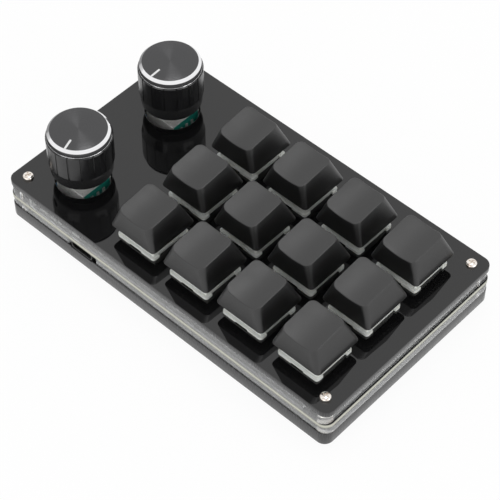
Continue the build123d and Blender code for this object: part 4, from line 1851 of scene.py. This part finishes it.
@dataclass
class Encoders:
    """The two rotary encoders: teal bases, folded steel brackets, threaded bushings and terminals."""

    finishes: Finishes
    coil: CoilPath
    row: RowPattern
    edge: float = 0.1
    bushing_radius: float = 3.5
    thread_turns: float = 4.0
    thread_wire: float = 0.14
    thread_length: float = 3.2
    thread_drop: float = 0.2
    terminal_pitch: float = 2.5
    terminal_top: float = 3.7
    terminal_depth: float = 1.4
    tab: Point = (0.35, 1.0)
    tab_gap: float = 0.17
    hook: Size = (0.6, 1.0, 0.3)
    hook_inset: float = 0.1
    solder_cone: tuple[Point, ...] = ((0.0, 0.9), (0.45, 0.7), (1.0, 0.0), (0.0, 0.0))
    solder_gap: float = 0.3

    def terminals(self, centre: Vector, face: float, board: float) -> list[Piece]:
        """The terminals of one encoder, three on its +X side and two on the other, in their solder.

        Args:
            centre: The encoder's middle.
            face: How far its side faces lie from its middle.
            board: The height of the board's upper side.

        Returns:
            The rows of terminals and of solder.
        """
        rows = []
        steel, top = self.finishes.sheet_steel, board + self.terminal_top
        start = (centre.x, centre.y - self.terminal_pitch, 0.0)
        for way, count in ((1, 3), (-1, 2)):
            step = (0, self.terminal_pitch * 2 / (count - 1), 0)
            upright = box_outline(*self.tab, centre=(way * (face + self.tab_gap), 0))
            hook = box_outline(*self.hook[:2], centre=(way * (face - self.hook_inset), 0))
            tab = Shell().slab(upright, board - self.terminal_depth, top).slab(hook, top - self.hook[2], top)
            rows.append(self.row.along("tabs", tab.finish("tab"), count, start, step, steel))
            place = Matrix.Translation((way * (face + self.solder_gap), 0, 0))
            solder = Turning(profile_at(board, self.solder_cone)).shell().finish("solder", place=place)
            rows.append(self.row.along("solder_row", solder, count, start, step, steel))
        return rows

    def build(self) -> None:
        """Builds what stands still and dresses what turns."""
        teal, steel, slot = self.finishes.teal, self.finishes.sheet_steel, Slot.ENCODER_STEEL
        stand_in("encoder_base_pair", "encoder_bases", self.edge, teal, Slot.TEAL)
        stand_in("encoder_bracket_pair", "encoder_brackets", self.edge, steel, slot)
        top = Extent.of("encoder_brackets").high.z - self.thread_drop
        face = Extent.of("encoder_bases").size.x / 2
        board = Extent.of("circuit_board").high.z
        terminals, threads = [], []
        for side in Side:
            centre = knob_axis(side)
            thread = self.coil.wound(
                f"thread_{side.value}", self.thread_turns, self.bushing_radius, self.thread_wire,
                top - self.thread_length, top, centre, steel,
            )
            threads.append(thread)
            terminals += self.terminals(centre, face, board)
            dress(f"encoder_rotor_{side.value}", self.finishes.rotor)
            dress(f"encoder_shaft_{side.value}", steel)
        hand_over(merged("bushing_threads", threads), CASE, slot)
        hand_over(merged("encoder_terminals", terminals), CASE, slot)


@dataclass
class Knob:
    """A turned knob: spun top, bright chamfer, fluted grip and a smooth base with a set screw."""

    finishes: Finishes
    side: Side
    pointer_angle: float
    face_radius: float = 8.95
    face_rows: tuple[float, ...] = (0.0, 1.5, 5.0)
    face_edge: Point = (0.06, 0.02)
    rim_radius: float = 9.8
    rim_height: float = 0.85
    rim_lip: float = 0.2
    groove_radius: float = 9.4
    groove_height: float = 1.3
    band_radius: float = 10.0
    bright_cut: float = 0.08
    shoulder_height: float = 2.85
    base_radius: float = 10.2
    base_height: float = 5.1
    base_step: float = 0.3
    base_line: float = 0.002
    foot_radius: float = 9.75
    foot_edge: float = 0.4
    recess_radius: float = 7.0
    recess_depth: float = 1.0
    bore_radius: float = 3.03
    bore_top: float = 3.57
    flutes: int = 16
    flute_phase: float = 0.3
    flute_width: float = 0.5
    flute_depth: float = 0.3
    flute_shares: tuple[float, ...] = (0.0, 0.35, 0.65, 0.85, 0.96, 0.9999, 1.02, 1.6)
    between_shares: tuple[float, ...] = (0.3, 0.42, 0.5)
    pointer_start: float = 4.9
    pointer_width: float = 0.7
    pointer_depth: float = 0.15
    pointer_round: float = 0.47
    screw_angle: float = -41.0
    screw_radius: float = 1.5
    screw_height: float = 2.6
    screw_start: float = 2.0

    def __post_init__(self) -> None:
        """Reads the knob's place and height from the imported model."""
        box = Extent.of(f"knob_{self.side.value}")
        self.bottom, self.top = box.low.z, box.high.z
        self.centre = knob_axis(self.side)
        self.radius = box.size.x / 2

    def bands(self) -> list[Material]:
        """The knob's own finishes, whose rings run round its axis."""
        side, dark = self.side.value, (0.008, 0.008, 0.0085)
        spun, bright = (0.092, 0.092, 0.094), (0.86, 0.86, 0.87)
        here = {"centre": (self.centre.x, self.centre.y)}
        wall = {**here, "upright": True}
        top = TurnedMetal(f"spun_top_{side}", spun, 0.24, 1.0, rings=7.0, stretch=0.95, **here)
        # The bright rim gets painted shade on one side, in place of the dark reflections there.
        rim = TurnedMetal(f"bright_rim_{side}", bright, 0.08, 1.0, rings=3.0, painted_shade_share=0.3, **here)
        groove = TurnedMetal(f"groove_{side}", (0.07, 0.07, 0.072), 0.35, rings=4.0, **wall)
        grip = TurnedMetal(f"grip_{side}", dark, 0.22, rings=1.3, stretch=0.6, line_depth=0.05, **wall)
        base = TurnedMetal(f"base_{side}", dark, 0.16, ior=1.6, rings=2.0, line_depth=0.006, **wall)
        hollow = TurnedMetal(f"hollow_{side}", dark, 0.5, rings=3.0, **here)
        own = [finish.material() for finish in (top, rim, groove, grip, base, hollow)]
        return [*own, self.finishes.pointer]

    def flute_reach(self, radius: float, angle: float, height: float) -> float:
        """How far the grip reaches out where the flutes cut into it.

        Args:
            radius: The uncut radius.
            angle: The angle about the axis.
            height: The height, which the flutes don't reach below the base's top.

        Returns:
            The radius that is left.
        """
        round_radius = self.flute_width / 2
        centre = self.radius - self.flute_depth + round_radius
        sector = FULL_TURN / self.flutes
        away = math.remainder(angle - sector * self.flute_phase, sector)
        room = round_radius**2 - (centre * math.sin(away)) ** 2
        if height < self.bottom + self.base_height - self.base_line / 2 or room <= 0:
            return radius
        return min(radius, centre * math.cos(away) - math.sqrt(room))

    def angles(self) -> list[float]:
        """Angles that are close together at the flutes and wide apart between them."""
        centre = self.radius - self.flute_depth + self.flute_width / 2
        edge = math.asin(self.flute_width / 2 / centre)
        sector = FULL_TURN / self.flutes
        near = [edge * share for share in self.flute_shares]
        near += [sector * share for share in self.between_shares]
        around = sorted([-a for a in near[1:-1]] + near)
        return [(number + self.flute_phase) * sector + a for number in range(self.flutes) for a in around]

    def profile(self) -> list[tuple[float, float, int]]:
        """The knob's turned profile from the middle of its top to the end of its bore."""
        top, bottom = self.top, self.bottom
        rim_bottom = top - self.rim_height
        groove_top = rim_bottom - self.rim_lip
        groove_bottom = groove_top - self.groove_height
        shoulder, base_top = top - self.shoulder_height, bottom + self.base_height
        cut = (
            self.band_radius + (self.radius - self.band_radius) * self.bright_cut,
            groove_bottom + (shoulder - groove_bottom) * self.bright_cut,
        )
        inset, drop = self.face_edge
        return [
            *((radius, top, Band.SPUN_TOP) for radius in (*self.face_rows, self.face_radius - inset)),
            (self.face_radius, top - drop, Band.BRIGHT_RIM),
            (self.rim_radius, rim_bottom, Band.GROOVE),
            (self.rim_radius, groove_top, Band.GROOVE),
            (self.groove_radius, groove_top, Band.GROOVE),
            (self.groove_radius, groove_bottom, Band.GROOVE),
            (self.band_radius, groove_bottom, Band.BRIGHT_RIM),
            (*cut, Band.GRIP),
            (self.radius, shoulder, Band.GRIP),
            (self.radius, base_top, Band.GRIP),
            (self.radius, base_top - self.base_line, Band.BASE),
            (self.base_radius, base_top - self.base_step, Band.BASE),
            (self.foot_radius, bottom + self.foot_edge, Band.BASE),
            (self.foot_radius - self.foot_edge, bottom, Band.BASE),
            (self.recess_radius, bottom, Band.HOLLOW),
            (self.recess_radius, bottom + self.recess_depth, Band.HOLLOW),
            (self.bore_radius, bottom + self.recess_depth, Band.HOLLOW),
            (self.bore_radius, top - self.bore_top, Band.HOLLOW),
            (0.0, top - self.bore_top, Band.HOLLOW),
        ]

    def form(self) -> Piece:
        """Turns the knob about the origin, with its pointer along +X, and cuts pointer and screw hole."""
        shell = Turning(self.profile(), self.angles(), self.flute_reach).shell()
        knob = shell.finish("knob_form", self.bands())
        middle = ((self.face_radius + self.pointer_start) / 2, 0.0)
        length, width = self.face_radius - self.pointer_start, self.pointer_width
        pointer, top = box_outline(length, width, width * self.pointer_round, middle), self.top
        cutter = Shell().slab(pointer, top - self.pointer_depth, top + OVERSHOOT, skins=[Band.POINTER] * 2)
        knob = carved(knob, cutter.finish("pointer_cutter"))
        bore = circle_outline(self.screw_radius, steps=40)
        hole = Shell().slab(bore, self.screw_start, self.radius + OVERSHOOT, skins=[Band.BASE] * 2)
        turn = Matrix.Rotation(math.radians(self.screw_angle), 4, "Z")
        lying = Matrix.Rotation(QUARTER_TURN, 4, "Y")
        lying = Matrix.Translation((0, 0, self.bottom + self.screw_height)) @ lying
        return carved(knob, hole.finish("screw_cutter", place=turn @ lying))

    def build(self) -> None:
        """Builds the knob in its place and dresses its set screw."""
        side = self.side.value
        knob = self.form()
        knob.name = f"knob_turned_{side}"
        shift = Matrix.Translation(metres((self.centre.x, self.centre.y, 0)))
        knob.data.transform(shift @ Matrix.Rotation(math.radians(self.pointer_angle), 4, "Z"))
        hand_over(knob, f"knob_{side}", Slot.KNOB, f"knob_{side}")
        dress(f"knob_set_screw_{side}", self.finishes.set_screw)


# Studio


@dataclass
class Studio:
    """A pale floor, soft light and the photograph's camera; lamps and clip distances are in metres."""

    floor_radius: float = 3500.0
    floor_colour: Colour = (0.86, 0.86, 0.86)
    floor_glow: float = 0.93
    room_light: float = 0.87
    lamp_aim: Size = (0.0, 0.0, 0.02)
    lens: float = 135.452
    sensor_width: float = 36.0
    clip: Point = (0.01, 50.0)
    camera_place: Size = (254.529, -272.291, 454.909)
    azimuth: float = 42.865
    elevation: float = 50.505
    roll: float = -0.108

    def background_share(self, nodes: Nodes) -> Socket:
        """One where a ray comes from the camera, a gloss or through glass, and zero elsewhere.

        Args:
            nodes: The tree of the material or world in which it is used.

        Returns:
            The socket that carries the share.
        """
        path = nodes.add("LightPath", {}).outputs
        share = nodes.compute("MAXIMUM", path["Is Camera Ray"], path["Is Glossy Ray"])
        return nodes.compute("MAXIMUM", share, path["Is Transmission Ray"])

    def floor(self) -> None:
        """A round pale floor that keeps the keypad's shadow."""
        shell = Shell()
        rim = shell.ring([(x, y, 0.0) for x, y in circle_outline(self.floor_radius, steps=96)])
        shell.fan(rim, (0.0, 0.0, 0.0))
        material = bpy.data.materials.new("studio_floor")
        material.use_nodes = True
        nodes, own = Nodes(material.node_tree), material.node_tree.nodes
        own.remove(own["Principled BSDF"])
        share = nodes.compute("MULTIPLY", self.background_share(nodes), self.floor_glow)
        plain = nodes.add("BsdfDiffuse", {"Color": (*self.floor_colour, 1.0)}).outputs[0]
        glow = nodes.add("Emission", {"Strength": 1.0}).outputs[0]
        both = nodes.add("MixShader", {0: share, 1: plain, 2: glow}).outputs[0]
        nodes.tree.links.new(both, own["Material Output"].inputs["Surface"])
        shell.finish("studio_floor", [material])

    def world(self) -> None:
        """A white surround, a little weaker where it lights the object."""
        world = bpy.data.worlds.new("studio")
        bpy.context.scene.world = world
        world.use_nodes = True
        nodes = Nodes(world.node_tree)
        levels = {"Value": self.background_share(nodes), "To Min": self.room_light, "To Max": 1.0}
        back = nodes.tree.nodes["Background"]
        back.inputs["Color"].default_value = (1.0, 1.0, 1.0, 1.0)
        nodes.tree.links.new(nodes.add("MapRange", levels).outputs[0], back.inputs["Strength"])

    def lamp(self, name: str, size: Point, place: Sequence[float], power: float) -> None:
        """A soft panel of light that faces the keypad.

        Args:
            name: Its name.
            size: Its width and height in metres.
            place: Where it hangs, in metres.
            power: Its power in watts.
        """
        data = bpy.data.lights.new(name, "AREA")
        data.shape = "RECTANGLE"
        data.size, data.size_y = size
        data.energy = power
        lamp = bpy.data.objects.new(name, data)
        turn = (Vector(self.lamp_aim) - Vector(place)).to_track_quat("-Z", "Y").to_matrix().to_4x4()
        lamp.matrix_world = Matrix.Translation(place) @ turn
        bpy.context.scene.collection.objects.link(lamp)

    def camera(self) -> None:
        """The camera at the photograph's place, with its slight roll."""
        turn, rise, lean = (math.radians(angle) for angle in (self.azimuth, self.elevation, self.roll))
        back = Vector((math.sin(turn) * math.cos(rise), -math.cos(turn) * math.cos(rise), math.sin(rise)))
        level = (-back).cross(Vector((0, 0, 1))).normalized()
        upright = level.cross(-back)
        right = level * math.cos(lean) + upright * math.sin(lean)
        up = upright * math.cos(lean) - level * math.sin(lean)
        data = bpy.data.cameras.new("camera")
        data.lens, data.sensor_width = self.lens, self.sensor_width
        data.clip_start, data.clip_end = self.clip
        item = bpy.data.objects.new("camera", data)
        turned = Matrix((right, up, back)).transposed().to_4x4()
        item.matrix_world = Matrix.Translation(Vector(self.camera_place) * MM) @ turned
        bpy.context.scene.collection.objects.link(item)
        bpy.context.scene.camera = item

    def build(self) -> None:
        """Sets up floor, world, lamps and camera."""
        self.floor()
        self.world()
        self.lamp("overhead_softbox", size=(0.4, 0.3), place=(-0.12, 0.22, 1.15), power=1.6)
        self.lamp("side_panel", size=(0.8, 0.5), place=(1.2, 0.1, 0.45), power=3.0)
        self.lamp("front_panel", size=(0.8, 0.5), place=(0.1, -1.2, 0.45), power=2.0)
        self.camera()
        bpy.context.scene.view_settings.view_transform = "Standard"


def main() -> None:
    """Builds the keypad's sub-assemblies in order, then the studio and the camera."""
    logging.basicConfig(level=logging.INFO, format="%(name)s: %(message)s")
    finishes = Finishes()
    grid, row, coil = GridPattern(), RowPattern(), CoilPath()
    LayeredCase(finishes).build()
    Fasteners(finishes, grid).build()
    BoardParts(finishes, grid, row).build()
    Switches(finishes, coil).build()
    Keycaps(finishes).build()
    Encoders(finishes, coil, row).build()
    Knob(finishes, Side.NEAR, -71.5).build()
    Knob(finishes, Side.FAR, -87.0).build()
    Studio().build()


if __name__ == "__main__":
    main()
